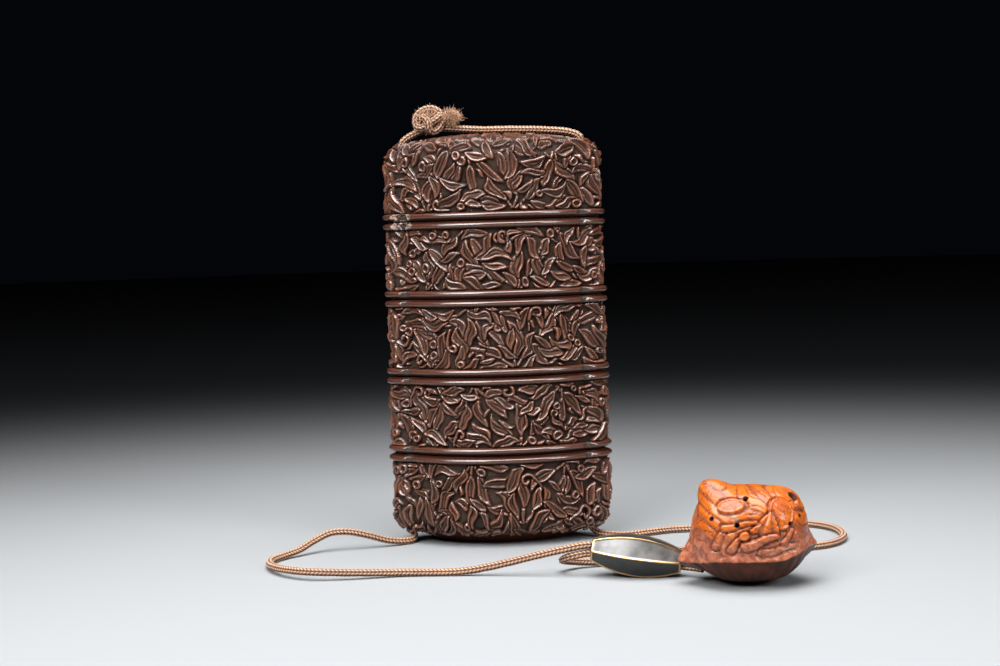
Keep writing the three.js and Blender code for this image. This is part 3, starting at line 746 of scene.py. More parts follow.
# %% Toggle crest, bowl and holes
incised = above * np.exp(-((np.abs(np.sin(1.7 * flow + 0.8 * np.sin(0.9 * x - 0.5 * z))) / 0.16) ** 2))
crest_line = np.exp(-(((z - seam_level) / 0.75) ** 2))
grooves = (1 - above) * 0.12 * np.cos(26 * np.arctan2(y, x)) * ease(np.hypot(x, y), 2, 6)
surface_radius = body_radius + layers.height * above + 0.55 * crest_line + grooves - 0.2 - 0.16 * incised
toggle_points = toggle_aims * surface_radius[:, None]
toggle_points[:, 2] = np.maximum(toggle_points[:, 2], TOUCH - TOGGLE_PLACE[2])
# a strip along the left edge gets the dark skin colour
flank = ease(-x, 9.7, 10.7) * ease(z, 3.5, 6)
toggle_values = {
    "crest": np.maximum(layers.crest * above, 0.8 * crest_line),
    "carved": above * (1 - 0.8 * flank),
    # cut lines, and painted shade in the grooves round the raised forms
    "incised": np.maximum(incised, 0.9 * layers.groove * above),
}
toggle = make_piece(
    "carved_toggle", toggle_points + TOGGLE_PLACE, toggle_faces, toggle_values, ["toggle"]
)
inner_aims, inner_faces = globe(24, 48)
inner = inner_aims * (toggle_radius(inner_aims) - TOGGLE_WALL)[:, None]
inner[:, 2] = np.maximum(inner[:, 2], TOGGLE_WALL - TOGGLE_PLACE[2])
PIERCED = [
    (-0.9, 8.3, 0.55), (8.4, 7.6, 1), (7.6, 3.2, 0.5), (-8, 4.5, 0.45), (-3.1, 3.5, 0.5), (9.8, 4.4, 0.45),
]
PORT_RADIUS = 2.45
bores = []
for hole_x, hole_z, size in PIERCED:
    mouth = np.array([hole_x, FRONT * toggle_depth(hole_x, hole_z, 0.02), hole_z])
    bores.append((mouth, 1.35, 0.35, 1.15 * size, 0.75))
bores.append((PORT_POINT - TOGGLE_PLACE, 1.45, 0.4, PORT_RADIUS, 1.0))
cuts = [("DIFFERENCE", closed_shape(inner + TOGGLE_PLACE, inner_faces))]
for mouth, outer, inmost, radius, taper in bores:
    path = TOGGLE_PLACE + outer * mouth, TOGGLE_PLACE + inmost * mouth
    cuts.append(("DIFFERENCE", closed_shape(*borer(*path, radius, taper))))
shape_with(toggle, cuts)
print("toggle has", len(toggle.data.polygons), "faces after boring")

# %% [markdown]
# ## Nut finish
# Above the crest the nut has been stained and rubbed to a bright orange brown, redder in the dips and
# dark in the cut lines, with painted shade in the grooves round the raised forms. Lower down it is tinted
# dull rosy as a painted sheen of the front light, and some spots are worn to the pale shell. Below the
# crest the nut keeps its dark brown skin, and a strip along its left edge gets the same dark brown.
# Handling has polished all of it, which a thin clear coat gives.

# %% Nut finish
nut = Finish("polished_nut", IOR=1.5, Specular_IOR_Level=0.15, Coat_Roughness=0.14, Subsurface_Weight=0.04)
nut.shader.inputs["Subsurface Radius"].default_value = (0.002, 0.0008, 0.0004)
carved = nut.stored("carved")
crest = nut.stored("crest")
patch = nut.noise(5, 4)
bright = nut.mix(nut.ease(patch, 0.3, 0.7), (0.42, 0.080, 0.005, 1), (0.54, 0.122, 0.009, 1))
dips = nut.mix(nut.ease(crest + 0.5 * (patch - 0.5), 0.0, 0.6), (0.26, 0.060, 0.018, 1), bright)
vein = nut.noise(2.6, 2)
lines = 1 - nut.ease((vein - 0.5).math("ABSOLUTE"), 0.0, 0.035)
skin = nut.mix(nut.ease(nut.noise(3.5, 5), 0.35, 0.7), (0.050, 0.015, 0.009, 1), (0.100, 0.028, 0.014, 1))
# dark cut lines, with painted shade in the grooves round the raised forms
marked = nut.mix(0.8 * nut.stored("incised") + 0.5 * lines, dips, (0.09, 0.026, 0.016, 1))
# painted sheen of the front light: the lower part is tinted dull rosy
lower_part = 1 - nut.ease(nut.upward() + 0.006 * (nut.noise(3) - 0.5), 0.0085, 0.0135)
painted_rosy_sheen = nut.mix(nut.ease(nut.noise(1.1, 4), 0.38, 0.62), (0.20, 0.065, 0.04, 1), (0.46, 0.165, 0.105, 1))
marked = nut.mix(0.72 * lower_part, marked, painted_rosy_sheen)
chalky = nut.ease(nut.noise(3.4, 4), 0.6, 0.74)
marked = nut.mix(0.6 * chalky, marked, (0.44, 0.24, 0.13, 1))
stipple = nut.noise(0.42, 2)
nut.feed(
    Base_Color=nut.mix(nut.ease(carved, 0.3, 0.8), skin, marked),
    Roughness=0.42 + 0.2 * (nut.noise(1.2) - 0.5) - 0.06 * crest,
    Coat_Weight=0.1 + 0.32 * carved,
    Normal=nut.bump((1 + lower_part) * stipple - 1.2 * lines * carved, 0.07, 0.7),
)
nut.dress(toggle)
print("nut finish on the toggle")

# %% [markdown]
# ## Plan of the case
# Seen from above, the case has two broad curved faces and two narrow ends that meet in four sharp
# notches. Each lobe is an arc of a circle, so one function gives the wall at any inset from the beads,
# and the lobes always meet in the notch. The columns of every carved mesh follow that plan.

# %% Sizes of the case, as in the part's source
HALF_WIDTH, HALF_DEPTH = 27.0, 14.0
BASE_HEIGHT, TIER_HEIGHT, LID_HEIGHT = 21.6, 18.55, 20.45
BEAD_PROUD, BEAD_HEIGHT, LIP_HEIGHT, JOINT_GAP = 1.5, 1.5, 0.45, 0.3
NOTCH_SPAN, FRONT_SWELL = 21.3, 7.5
SHOULDER_RUN, SHOULDER_HEIGHT, SHOULDER_TURN = 5.0, 4.2, 1.3
LID_DOME, BASE_DOME, STAND_SHARE = 2.0, 2.9, 0.62


def arc_radius(half_chord, rise):
    return (half_chord ** 2 + rise ** 2) / (2 * rise)


FACE_RADIUS = arc_radius(NOTCH_SPAN, FRONT_SWELL)
FACE_CENTRE = FACE_RADIUS - HALF_DEPTH
END_RADIUS = arc_radius(HALF_DEPTH - FRONT_SWELL, HALF_WIDTH - NOTCH_SPAN)
END_CENTRE = HALF_WIDTH - END_RADIUS
print("arcs of", round(FACE_RADIUS, 2), "and", round(END_RADIUS, 2), "mm")

# %% Wall points for any inset
def notch_point(inset):
    face, end = FACE_RADIUS - inset, END_RADIUS - inset
    apart = math.hypot(END_CENTRE, FACE_CENTRE)
    along = (face ** 2 - end ** 2 + apart ** 2) / (2 * apart)
    aside = np.sqrt(np.maximum(0, face ** 2 - along ** 2))
    ux, uy = END_CENTRE / apart, -FACE_CENTRE / apart
    return along * ux + aside * uy, FACE_CENTRE + along * uy - aside * ux


def plan_point(lobe, share, inset):
    notch_x, notch_y = notch_point(inset)
    side = np.where(lobe < 2, 1, -1)
    face, end = FACE_RADIUS - inset, END_RADIUS - inset
    face_angle = -share * np.arcsin(np.clip(notch_x / face, -1, 1))
    end_angle = share * np.arctan2(-notch_y, notch_x - END_CENTRE)
    on_end = lobe % 2 == 0
    x = np.where(on_end, END_CENTRE + end * np.cos(end_angle), face * np.sin(face_angle))
    y = np.where(on_end, end * np.sin(end_angle), face * np.cos(face_angle) - FACE_CENTRE)
    return side * x, side * y


FACE_COLUMNS, END_COLUMNS = 236, 74
lobe_sizes = [END_COLUMNS, FACE_COLUMNS, END_COLUMNS, FACE_COLUMNS]
column_lobe = np.repeat(np.arange(4), lobe_sizes)
column_share = np.concatenate([-1 + 2 * np.arange(n) / n for n in lobe_sizes])
COLUMNS = len(column_lobe)
ground_x, ground_y = plan_point(column_lobe, column_share, BEAD_PROUD)
face_half = math.asin(notch_point(BEAD_PROUD)[0] / (FACE_RADIUS - BEAD_PROUD)) * (FACE_RADIUS - BEAD_PROUD)
end_angle = math.atan2(-notch_point(BEAD_PROUD)[1], notch_point(BEAD_PROUD)[0] - END_CENTRE)
end_half = end_angle * (END_RADIUS - BEAD_PROUD)
lobe_half = np.array([end_half, face_half, end_half, face_half])
lobe_middle = np.cumsum(2 * lobe_half) - lobe_half
GIRTH = 2 * lobe_half.sum()
column_run = lobe_middle[column_lobe] + column_share * lobe_half[column_lobe]
print("girth of the carved ground", round(GIRTH, 1), "mm in", COLUMNS, "columns")

# %% [markdown]
# ## Carving
# The carving is a close thicket of leaves with rolled rims and hollow, veined bodies, with curled
# hooks and small rings between them, on a sunk dark ground. Sculpting it by hand can't be repeated
# from a script, and a bump map would leave the outline flat. So the carver's way is followed: a field
# of heights round each section is cut leaf by leaf, and a later leaf cuts back what it lies over. The
# large leaves stand where the part's source has them, then three rounds of smaller ones fill the gaps
# by chance. Each shape says what share of it may overlap what has been cut before.

# %% A field of carving
WARP_WAVES = 5


class Carving:
    def __init__(self, run, rise, seed):
        self.run, self.rise = run, rise
        self.chance = np.random.default_rng(seed)
        shape = (len(rise), len(run))
        self.height = np.zeros(shape)
        self.ridge = np.zeros(shape)
        self.cover = np.zeros(shape, dtype=bool)
        turn = 2 * np.pi * run[None, :] / GIRTH
        self.warp = np.zeros((2,) + shape)
        for k in range(2 * WARP_WAVES):
            waves = self.chance.integers(6, 34)
            lift = self.chance.uniform(0.3, 1.6)
            phase = self.chance.uniform(0, 6.28)
            self.warp[k % 2] += 0.075 * np.sin(waves * turn + lift * rise[:, None] + phase)

    def window(self, along, level, reach):
        off = (self.run - along + GIRTH / 2) % GIRTH - GIRTH / 2
        columns = np.nonzero(np.abs(off) < reach)[0]
        rows = np.nonzero(np.abs(self.rise - level) < reach)[0]
        place = np.ix_(rows, columns)
        s = off[columns][None, :] + self.warp[0][place]
        t = self.rise[rows][:, None] - level + self.warp[1][place]
        return place, s, t

    def lay(self, place, edge, height, ridge, cut=0.34):
        if edge.size == 0:
            return
        groove = ease(-edge, 0.02, cut)
        under = self.height[place] * (0.25 + 0.75 * groove)
        self.height[place] = np.where(edge > 0, np.maximum(height, 0.05), under)
        self.ridge[place] = np.where(edge > 0, ridge, self.ridge[place] * groove)
        self.cover[place] |= edge > -0.16

    def taken(self, place, edge):
        inside = edge > -0.1
        return (self.cover[place] & inside).sum() / max(1, inside.sum())


# %% Leaf with a rolled rim
def leaf_shape(s, t, leaf):
    cos, sin = math.cos(leaf["angle"]), math.sin(leaf["angle"])
    length, width = leaf["length"], leaf["width"]
    along = (s * cos + t * sin) / length
    held = np.clip(along, 0, 1)
    across = t * cos - s * sin - leaf["bend"] * length * 4 * held * (1 - held)
    across = across - leaf.get("twist", 0) * length * np.sin(2 * np.pi * held)
    half = 0.5 * width * np.sin(np.pi * held ** 0.86) ** 0.72
    beyond = np.maximum(along - 1, 0) + np.maximum(-along, 0)
    edge = half - np.abs(across) - length * beyond
    return edge, across / np.maximum(half, 0.05), held


def carve_leaf(field, leaf, overlap=None):
    place, s, t = field.window(leaf["along"], leaf["up"], leaf["length"] + 0.8)
    edge, across, held = leaf_shape(s, t, leaf)
    if overlap is not None and field.taken(place, edge) > overlap:
        return False
    rise = leaf["rise"]
    rim = np.exp(-(((edge - 0.4) / 0.31) ** 2)) * (0.9 + 0.3 * leaf["tilt"] * across)
    vein = np.exp(-(((across - 0.1 * leaf["tilt"]) / 0.17) ** 2)) * ease(held, 0.04, 0.2)
    vein = vein * (1 - ease(held, 0.74, 0.95))
    side_vein = np.exp(-(((across + 0.45 * leaf["tilt"]) / 0.13) ** 2)) * np.sin(np.pi * held) ** 2
    hairs = np.cos(2 * np.pi * across * 2.6 + leaf["phase"] + 5 * held)
    tilt = leaf["tilt"] * across
    body = 0.1 + 0.08 * np.sin(np.pi * held) + 0.34 * vein + 0.26 * side_vein + 0.09 * hairs + 0.1 * tilt
    swell = 0.9 + 0.16 * np.sin(leaf["phase"] + 7 * held)
    body = body * (1 - 0.6 * rim)
    height = rise * (body + (0.92 + 0.12 * tilt) * rim * swell + 0.1 * ease(held, 0.6, 0.95))
    height = height * ease(edge, -0.04, 0.16)
    ridge = np.clip(rim + 0.5 * vein + 0.4 * side_vein + 0.3 * np.maximum(hairs, 0), 0, 1)
    field.lay(place, edge, height, ridge)
    return True


# %% Ring, hook and stem
def carve_ring(field, along, level, size, rise, overlap=None):
    place, s, t = field.window(along, level, size + 1.0)
    far = np.hypot(s, t)
    roll = 0.3 * size
    middle = size - roll
    edge = size - far
    if overlap is not None and field.taken(place, edge) > overlap:
        return False
    ring = np.sqrt(np.clip(1 - ((far - middle) / roll) ** 2, 0, 1))
    field.lay(place, edge, rise * np.maximum(ring, 0.45 * (far < middle)), ring ** 2)
    return True


def carve_stem(field, along, level, path, widths, rise, overlap=None):
    path = np.asarray(path)
    place, s, t = field.window(along, level, np.abs(path).max() + 1.2)
    edge = np.full(s.shape, -9.0)
    body = np.zeros(s.shape)
    for (px, py), width in zip(path, widths):
        far = np.hypot(s - px, t - py)
        better = width - far > edge
        edge = np.where(better, width - far, edge)
        body = np.where(better, np.sqrt(np.clip(1 - (far / width) ** 2, 0, 1)), body)
    if overlap is not None and field.taken(place, edge) > overlap:
        return False
    field.lay(place, edge, rise * (0.2 + 0.8 * body), body ** 3, 0.26)
    return True


def hook_path(size, start, turns, hand):
    share = np.linspace(0, 1, 26)
    angle = start + hand * turns * 2 * np.pi * share
    radius = size * (1 - 0.72 * share)
    curl = np.column_stack([radius * np.cos(angle), radius * np.sin(angle)])
    aim = curl[0] - curl[1]
    aim /= np.linalg.norm(aim)
    tail = curl[0] + aim * np.linspace(2.2 * size, 0.1, 12)[:, None]
    return np.vstack([tail, curl]), np.concatenate([np.linspace(0.22, 0.42, 12), np.full(26, 0.4)])


# %% Large leaves, placed as in the part's source
SPRIGS, LEAF_LENGTH, LEAF_WIDTH, LEAF_RISE = 4, 10.5, 3.4, 1.2
FAN_ANGLE, SPRIG_MARGIN = 0.74, 1.0


def golden(count):
    return count * 0.6180339887 - math.floor(count * 0.6180339887)


def sprig_leaves(seed, half_span, sprigs, low, high):
    leaves = []
    for i in range(sprigs):
        from_top = (i + seed) % 2
        lean = (golden(11 * seed + 5 * i + 1) - 0.5) * 0.5
        along = half_span * ((2 * i + 1) / sprigs - 1) + (golden(7 * seed + 3 * i + 2) - 0.5) * 1.6
        for j in (-1, 0, 1):
            size = LEAF_LENGTH * (0.86 + 0.2 * golden(13 * seed + 4 * i + j + 3) - 0.06 * abs(j))
            tilt = math.pi / 2 + j * FAN_ANGLE + lean
            leaves.append({
                "along": along + 0.9 * math.cos(tilt),
                "up": high - 0.3 if from_top else low + 0.3,
                "angle": -tilt if from_top else tilt,
                "length": min(size, (high - low - 0.6) / abs(math.sin(tilt))),
                "width": LEAF_WIDTH * (0.9 + 0.25 * golden(17 * seed + 2 * i + j + 4)),
            })
    return leaves


def wall_leaves(section, low_edge, high_edge):
    low, high = low_edge + 0.3 * SPRIG_MARGIN, high_edge - 0.3 * SPRIG_MARGIN
    band = face_half - SPRIG_MARGIN
    placed = []
    for side, face, end in ((1, 1, 0), (-1, 3, 2)):
        seed = 2 * section + (1 if side > 0 else 0)
        for leaf in sprig_leaves(seed, band, SPRIGS, low, high):
            over = leaf["length"] * math.cos(leaf["angle"])
            if abs(leaf["along"] + over) > band:
                leaf["along"] = max(abs(over) - band, min(band - abs(over), leaf["along"]))
            else:
                leaf["along"] = max(-band, min(band, leaf["along"]))
            placed.append({**leaf, "along": lobe_middle[face] + leaf["along"]})
        for leaf in sprig_leaves(seed + 5, 0, 1, low, high):
            upright = math.copysign(math.pi / 2, leaf["angle"])
            leaf["angle"] = upright + 0.55 * (leaf["angle"] - upright)
            leaf["width"] = 0.85 * LEAF_WIDTH
            placed.append({**leaf, "along": lobe_middle[end] + leaf["along"]})
    return placed


print(len(wall_leaves(1, 2, 16.6)), "large leaves on a tier")

# %% Cut one wall: large leaves, then smaller ones, hooks and rings in the gaps
LEAF_ROUNDS = ((900, (5.2, 7.8), 0.45), (1300, (3.8, 5.8), 0.38), (1400, (2.4, 4.0), 0.3))
RING_EVERY, HOOK_EVERY, LAST_RINGS = 16, 18, 420


def fill_wall(field, leaves, low, high):
    chance = field.chance
    flow = chance.uniform(0, 6.28, 4)
    for leaf in sorted(leaves, key=lambda item: chance.random()):
        start = chance.uniform(0.12, 0.34)
        angle = leaf["angle"] + chance.normal(0, 0.12)
        aim = np.array([math.cos(angle), math.sin(angle)]) * leaf["length"]
        stem = aim * np.linspace(0, start + 0.1, 9)[:, None]
        carve_stem(field, leaf["along"], leaf["up"], stem, np.full(9, 0.36), 0.8)
        carve_leaf(field, {
            "along": leaf["along"] + start * aim[0], "up": leaf["up"] + start * aim[1], "angle": angle,
            "length": leaf["length"] * (1 - start), "width": leaf["width"] * chance.uniform(0.7, 0.82),
            "bend": chance.normal(0, 0.13), "twist": chance.normal(0, 0.05),
            "phase": chance.uniform(0, 6), "rise": 1.12, "tilt": chance.choice([-1, 1]),
        })
    tries = [(lengths, overlap) for count, lengths, overlap in LEAF_ROUNDS for _ in range(count)]
    for attempt, (lengths, overlap) in enumerate(tries):
        along, level = chance.uniform(0, GIRTH), chance.uniform(low, high)
        wave = 2 * np.pi * along / GIRTH
        angle = 2.2 * math.sin(5 * wave + flow[0]) + 1.4 * math.sin(9 * wave + 0.5 * level + flow[1])
        angle += chance.normal(0, 0.4) + chance.integers(0, 2) * math.pi
        length = chance.uniform(*lengths)
        end_level = level + length * math.sin(angle)
        if not low - 0.1 < end_level < high + 0.1:
            continue
        leaf = {"along": along, "up": level, "angle": angle, "length": length,
                "bend": chance.normal(0, 0.15), "twist": chance.normal(0, 0.05),
                "width": length * chance.uniform(0.34, 0.42), "rise": chance.uniform(0.85, 1.15),
                "phase": chance.uniform(0, 6), "tilt": chance.choice([-1, 1])}
        carve_leaf(field, leaf, overlap)
        if attempt % RING_EVERY == 0:
            carve_ring(field, chance.uniform(0, GIRTH), chance.uniform(low + 1, high - 1),
                       chance.uniform(0.95, 1.25), chance.uniform(0.95, 1.15), overlap=0.6)
        if attempt % HOOK_EVERY == 0:
            size, start = chance.uniform(1.1, 1.9), chance.uniform(0, 6)
            path, widths = hook_path(size, start, 0.8, chance.choice([-1, 1]))
            carve_stem(field, chance.uniform(0, GIRTH), chance.uniform(low + 1.4, high - 1.4), path, widths,
                       chance.uniform(1.0, 1.2), overlap=0.5)
    for _ in range(LAST_RINGS):
        carve_ring(field, chance.uniform(0, GIRTH), chance.uniform(low + 0.7, high - 0.7),
                   chance.uniform(0.7, 1.15), chance.uniform(0.75, 1.0), overlap=0.2)


# %% [markdown]
# ## Sections
# A section is a stack of rows: the plain beads at its joints, the carved wall between them, and on the
# lid and the base a rounded shoulder. Each row knows its height, how much the plan shrinks there and
# which way its surface faces. The field of carving then pushes the points out along that direction.

# %% Rows of a section
ROW_STEP = 0.195


def bead_row(level):
    share = np.clip(np.abs(level - LIP_HEIGHT + 0.03 - BEAD_HEIGHT / 2) / (BEAD_HEIGHT / 2), 0, 1)
    return BEAD_PROUD * (1 - share ** 2.3) ** (1 / 2.3)


def wall_rows(low, high):
    return np.linspace(low, high, round((high - low) / ROW_STEP) + 1)


def joint_rows():
    turn = np.linspace(0, np.pi, 13)
    round_levels = LIP_HEIGHT - 0.03 + BEAD_HEIGHT / 2 * (1 - np.cos(turn))
    levels = np.concatenate([[JOINT_GAP / 2, LIP_HEIGHT - 0.06], round_levels])
    return levels, bead_row(levels)


BAND = LIP_HEIGHT + BEAD_HEIGHT
ground_half = np.array([HALF_WIDTH - BEAD_PROUD, HALF_DEPTH - BEAD_PROUD])


def shoulder_rows(wall_level, direction):
    angle = np.linspace(0, SHOULDER_TURN, 30)[1:]
    inset = SHOULDER_RUN * (1 - np.cos(angle))
    level = wall_level + direction * SHOULDER_HEIGHT * np.sin(angle) / math.sin(SHOULDER_TURN)
    shares = 1 - inset[:, None] / ground_half
    length = np.cumsum(np.hypot(np.diff(np.append(0, inset)), np.diff(np.append(wall_level, level))))
    return level, shares, angle, length


print("joint rows at", joint_rows()[0].round(2))

# %% Build the rows of each kind of section
def section_rows(kind):
    low_levels, low_beads = joint_rows()
    rows = []
    height = {"base": BASE_HEIGHT, "tier": TIER_HEIGHT, "lid": LID_HEIGHT}[kind]
    wall_low, wall_high = BAND + 0.02, height - BAND - 0.02
    if kind == "base":
        wall_low = BASE_DOME + SHOULDER_HEIGHT
        level, shares, angle, length = shoulder_rows(wall_low, -1)
        stand = shares[-1] * STAND_SHARE
        for share in np.linspace(0, 1, 13)[:-1]:
            rows.append((share * BASE_DOME, *(stand + (shares[-1] - stand) * share), -1.5, 0, -99, 0))
        for k in range(len(level))[::-1]:
            rows.append((level[k], *shares[k], -angle[k], 0, wall_low - length[k], 1))
    else:
        rows += [(level, 1, 1, 0, bead, -99, 0) for level, bead in zip(low_levels, low_beads)]
    if kind == "lid":
        wall_high = LID_HEIGHT - LID_DOME - SHOULDER_HEIGHT
    rows += [(level, 1, 1, 0, 0, level, 1) for level in wall_rows(wall_low, wall_high)]
    if kind == "lid":
        level, shares, angle, length = shoulder_rows(wall_high, 1)
        rows += [(level[k], *shares[k], angle[k], 0, wall_high + length[k], 1) for k in range(len(level))]
    else:
        rows += [(height - level, 1, 1, 0, bead, -99, 0)
                 for level, bead in list(zip(low_levels, low_beads))[::-1]]
    return np.array(rows, dtype=float)


for kind in ("base", "tier", "lid"):
    print(kind, "has", len(section_rows(kind)), "rows")

# %% Dome of the lid: a grid between the front and the back of its edge
def dome_height(x, y, edge_share):
    share = np.hypot(x / (ground_half[0] * edge_share[0]), y / (ground_half[1] * edge_share[1]))
    return LID_HEIGHT - LID_DOME * share ** 2


def dome_carving(x, y, seed):
    chance = np.random.default_rng(seed)
    height, ridge = np.zeros_like(x), np.zeros_like(x)
    cover = np.zeros(x.shape, dtype=bool)
    for attempt in range(520):
        px, py = chance.uniform(-20, 20), chance.uniform(-8, 8)
        angle = math.atan2(py * 2.2, px) + chance.normal(0, 0.6)
        length = chance.uniform(4.5, 7.5) if attempt < 260 else chance.uniform(2.5, 4)
        leaf = {"angle": angle, "length": length, "width": length * chance.uniform(0.34, 0.44),
                "bend": chance.uniform(-0.08, 0.08)}
        edge, across, held = leaf_shape(x - px, y - py, leaf)
        inside = edge > -0.12
        if inside.sum() < 8 or (cover & inside).sum() > 0.18 * inside.sum():
            continue
        rim = np.exp(-(((edge - 0.32) / 0.24) ** 2))
        vein = np.exp(-((across / 0.22) ** 2)) * np.sin(np.pi * held)
        shape = (0.34 + 0.22 * vein + 0.42 * rim) * ease(edge, -0.04, 0.2)
        groove = ease(-edge, 0.02, 0.35)
        height = np.where(edge > 0, 0.8 * shape, height * (0.3 + 0.7 * groove))
        ridge = np.where(edge > 0, np.clip(rim + 0.4 * vein, 0, 1), ridge * groove)
        cover |= inside
    return height, ridge


# %% The cap over a ring of columns
def cap_grid(lines):
    half = COLUMNS // 2
    first = END_COLUMNS // 2
    order = (np.arange(half + 1) + first) % COLUMNS
    mirror = (first - np.arange(half + 1)) % COLUMNS
    index = -np.ones((half + 1, lines + 1), dtype=int)
    index[:, 0], index[:, -1] = mirror, order
    inner = np.arange((half - 1) * (lines - 1)).reshape(half - 1, lines - 1) + COLUMNS
    index[1:-1, 1:-1] = inner
    index[0, :], index[-1, :] = order[0], order[-1]
    return order, mirror, index


def cap_faces(index, upward):
    a, b, c, d = index[:-1, :-1], index[1:, :-1], index[1:, 1:], index[:-1, 1:]
    quads = np.stack([a, b, c, d], -1).reshape(-1, 4)
    faces = []
    for quad in quads.tolist():
        face = list(dict.fromkeys(quad))
        if len(face) > 2:
            faces.append(face[::-1] if upward else face)
    return faces


# %% Inside of the sections
WALL, RISER_WALL, RISER_HEIGHT, RISER_CLEARANCE = 2.4, 1.1, 4.0, 0.3
FLOOR_THICKNESS, CROWN_THICKNESS = 1.8, 2.6
CHANNEL_RADIUS, CHANNEL_WEB = 1.45, 0.6
recess_reach = CHANNEL_X - CHANNEL_RADIUS - CHANNEL_WEB
riser_reach = recess_reach - RISER_CLEARANCE
cavity_reach = riser_reach - RISER_WALL
cavity_inset = BEAD_PROUD + WALL
riser_inset = cavity_inset - RISER_WALL
recess_inset = riser_inset - RISER_CLEARANCE
recess_depth = RISER_HEIGHT + RISER_CLEARANCE


def oval_plan(inset, reach, steps=24):
    face = FACE_RADIUS - inset
    short = face - reach
    centre = (FACE_CENTRE ** 2 - short ** 2) / (2 * short)
    end = reach - centre
    turn = math.atan2(centre, FACE_CENTRE)
    plan = []
    for side in (1, -1):
        for i in range(steps):
            angle = turn - math.pi / 2 + (math.pi - 2 * turn) * i / steps
            plan.append((side * (centre + end * math.cos(angle)), side * end * math.sin(angle)))
        for i in range(steps):
            angle = turn - 2 * turn * i / steps
            plan.append((side * face * math.sin(angle), side * (face * math.cos(angle) - FACE_CENTRE)))
    return plan


def hollow_steps(kind, height, z):
    def block(inset, reach, low, high):
        return closed_shape(*prism(oval_plan(inset, reach), z + low, z + high))

    steps = []
    if kind != "lid":
        riser = block(riser_inset, riser_reach, height - FLOOR_THICKNESS, height + RISER_HEIGHT)
        steps.append(("UNION", riser))
    if kind != "base":
        steps.append(("DIFFERENCE", block(recess_inset, recess_reach, -1, recess_depth)))
    low = {"base": BASE_DOME + CROWN_THICKNESS, "tier": recess_depth + FLOOR_THICKNESS, "lid": -1}[kind]
    high = LID_HEIGHT - LID_DOME - CROWN_THICKNESS if kind == "lid" else height + RISER_HEIGHT + 1
    steps.append(("DIFFERENCE", block(cavity_inset, cavity_reach, low, high)))
    for side in (-1, 1):
        x = side * CHANNEL_X
        channel = borer([x, 0, z - 1], [x, 0, z + height + 1], CHANNEL_RADIUS)
        steps.append(("DIFFERENCE", closed_shape(*channel)))
    return steps


# %% Blur, to tell hollows from ridges
def blurred(height, passes=3, reach=2):
    for _ in range(passes):
        padded = np.pad(height, ((reach, reach), (0, 0)), mode="edge")
        rows = sum(padded[k:k + len(height)] for k in range(2 * reach + 1))
        height = sum(np.roll(rows, k, axis=1) for k in range(-reach, reach + 1)) / (2 * reach + 1) ** 2
    return height


# %% Chips and rubbed places seen on the old case
chips = [
    ((-12.5, -8, 97), 2.0), ((15.5, -8, 97.5), 2.4), ((25.5, -3, 95), 1.7), ((26.5, -3, 87), 2.6),
    ((-17.6, -9.5, 6), 1.5), ((13, -8, 4), 1.8), ((26, -4, 9.5), 2.0), ((-22.2, -7, 77.2), 4.6),
    ((2, -9, 97), 1.6), ((26.4, -3.5, 46), 1.4), ((-8, 11, 92), 2.0), ((19, 8, 12), 2.0),
]


def worn_places(points):
    worn = np.zeros(len(points))
    for centre, reach in chips:
        away = np.linalg.norm(points - np.array(centre), axis=1)
        worn = np.maximum(worn, 1 - ease(away, 0.35 * reach, reach))
    return worn


# %% Relief of one section: carved wall, plain beads, knocked corners at the notches
CARVED_BANDS = {
    "base": (BASE_DOME + 0.6 * SHOULDER_HEIGHT, BASE_HEIGHT - BAND),
    "tier": (BAND, TIER_HEIGHT - BAND),
    "lid": (BAND, LID_HEIGHT - LID_DOME - 0.6 * SHOULDER_HEIGHT),
}


def section_relief(kind, number, rows):
    level, _, _, _, bead, rise, carved = rows.T
    on_wall = carved[:, None]
    field = Carving(column_run, np.where(carved > 0, rise, -99), 40 + number)
    low, high = rise[carved > 0].min(), rise[carved > 0].max()
    fill_wall(field, wall_leaves(number, *CARVED_BANDS[kind]), low, high)
    fade = ease(rise, low - 0.01, low + 0.25) * (1 - ease(rise, high - 0.3, high + 0.01))
    height = field.height * (fade * carved)[:, None]
    ridge = field.ridge * (fade * carved)[:, None]
    marks = 0.03 * field.chance.standard_normal(height.shape) * on_wall
    height = np.where(on_wall > 0, height + marks, bead[:, None])
    notch_gap = (1 - np.abs(column_share)) * lobe_half[column_lobe]
    from_joint = np.minimum(level, level.max() - level) / BAND
    slope = np.where(level < level.mean(), 1, 0.6) * np.clip(1.25 - from_joint, 0, 1)
    reach = slope[:, None] * np.where(column_lobe % 2 == 0, 1.5, 1.1)
    facet = (1 - ease(notch_gap - reach, 0, 0.25)) * (bead > 0.2)[:, None]
    height = np.where(facet > 0, np.minimum(height, BEAD_PROUD - 0.5 * facet), height)
    around = blurred(height)
    # painted shade: the deeper a point lies under its blurred surroundings, the darker it is painted
    painted_hollow_shade = np.clip((around - height) / 0.3, 0, 1) * on_wall
    ridge = np.clip(0.35 * ridge + 0.85 * (height - around) / 0.42, 0, 1)
    ridge = np.where(on_wall > 0, ridge, np.clip(height / BEAD_PROUD, 0, 1) ** 2)
    return {"rise": height, "ridge": ridge, "facet": facet, "painted_hollow_shade": painted_hollow_shade}, field.chance


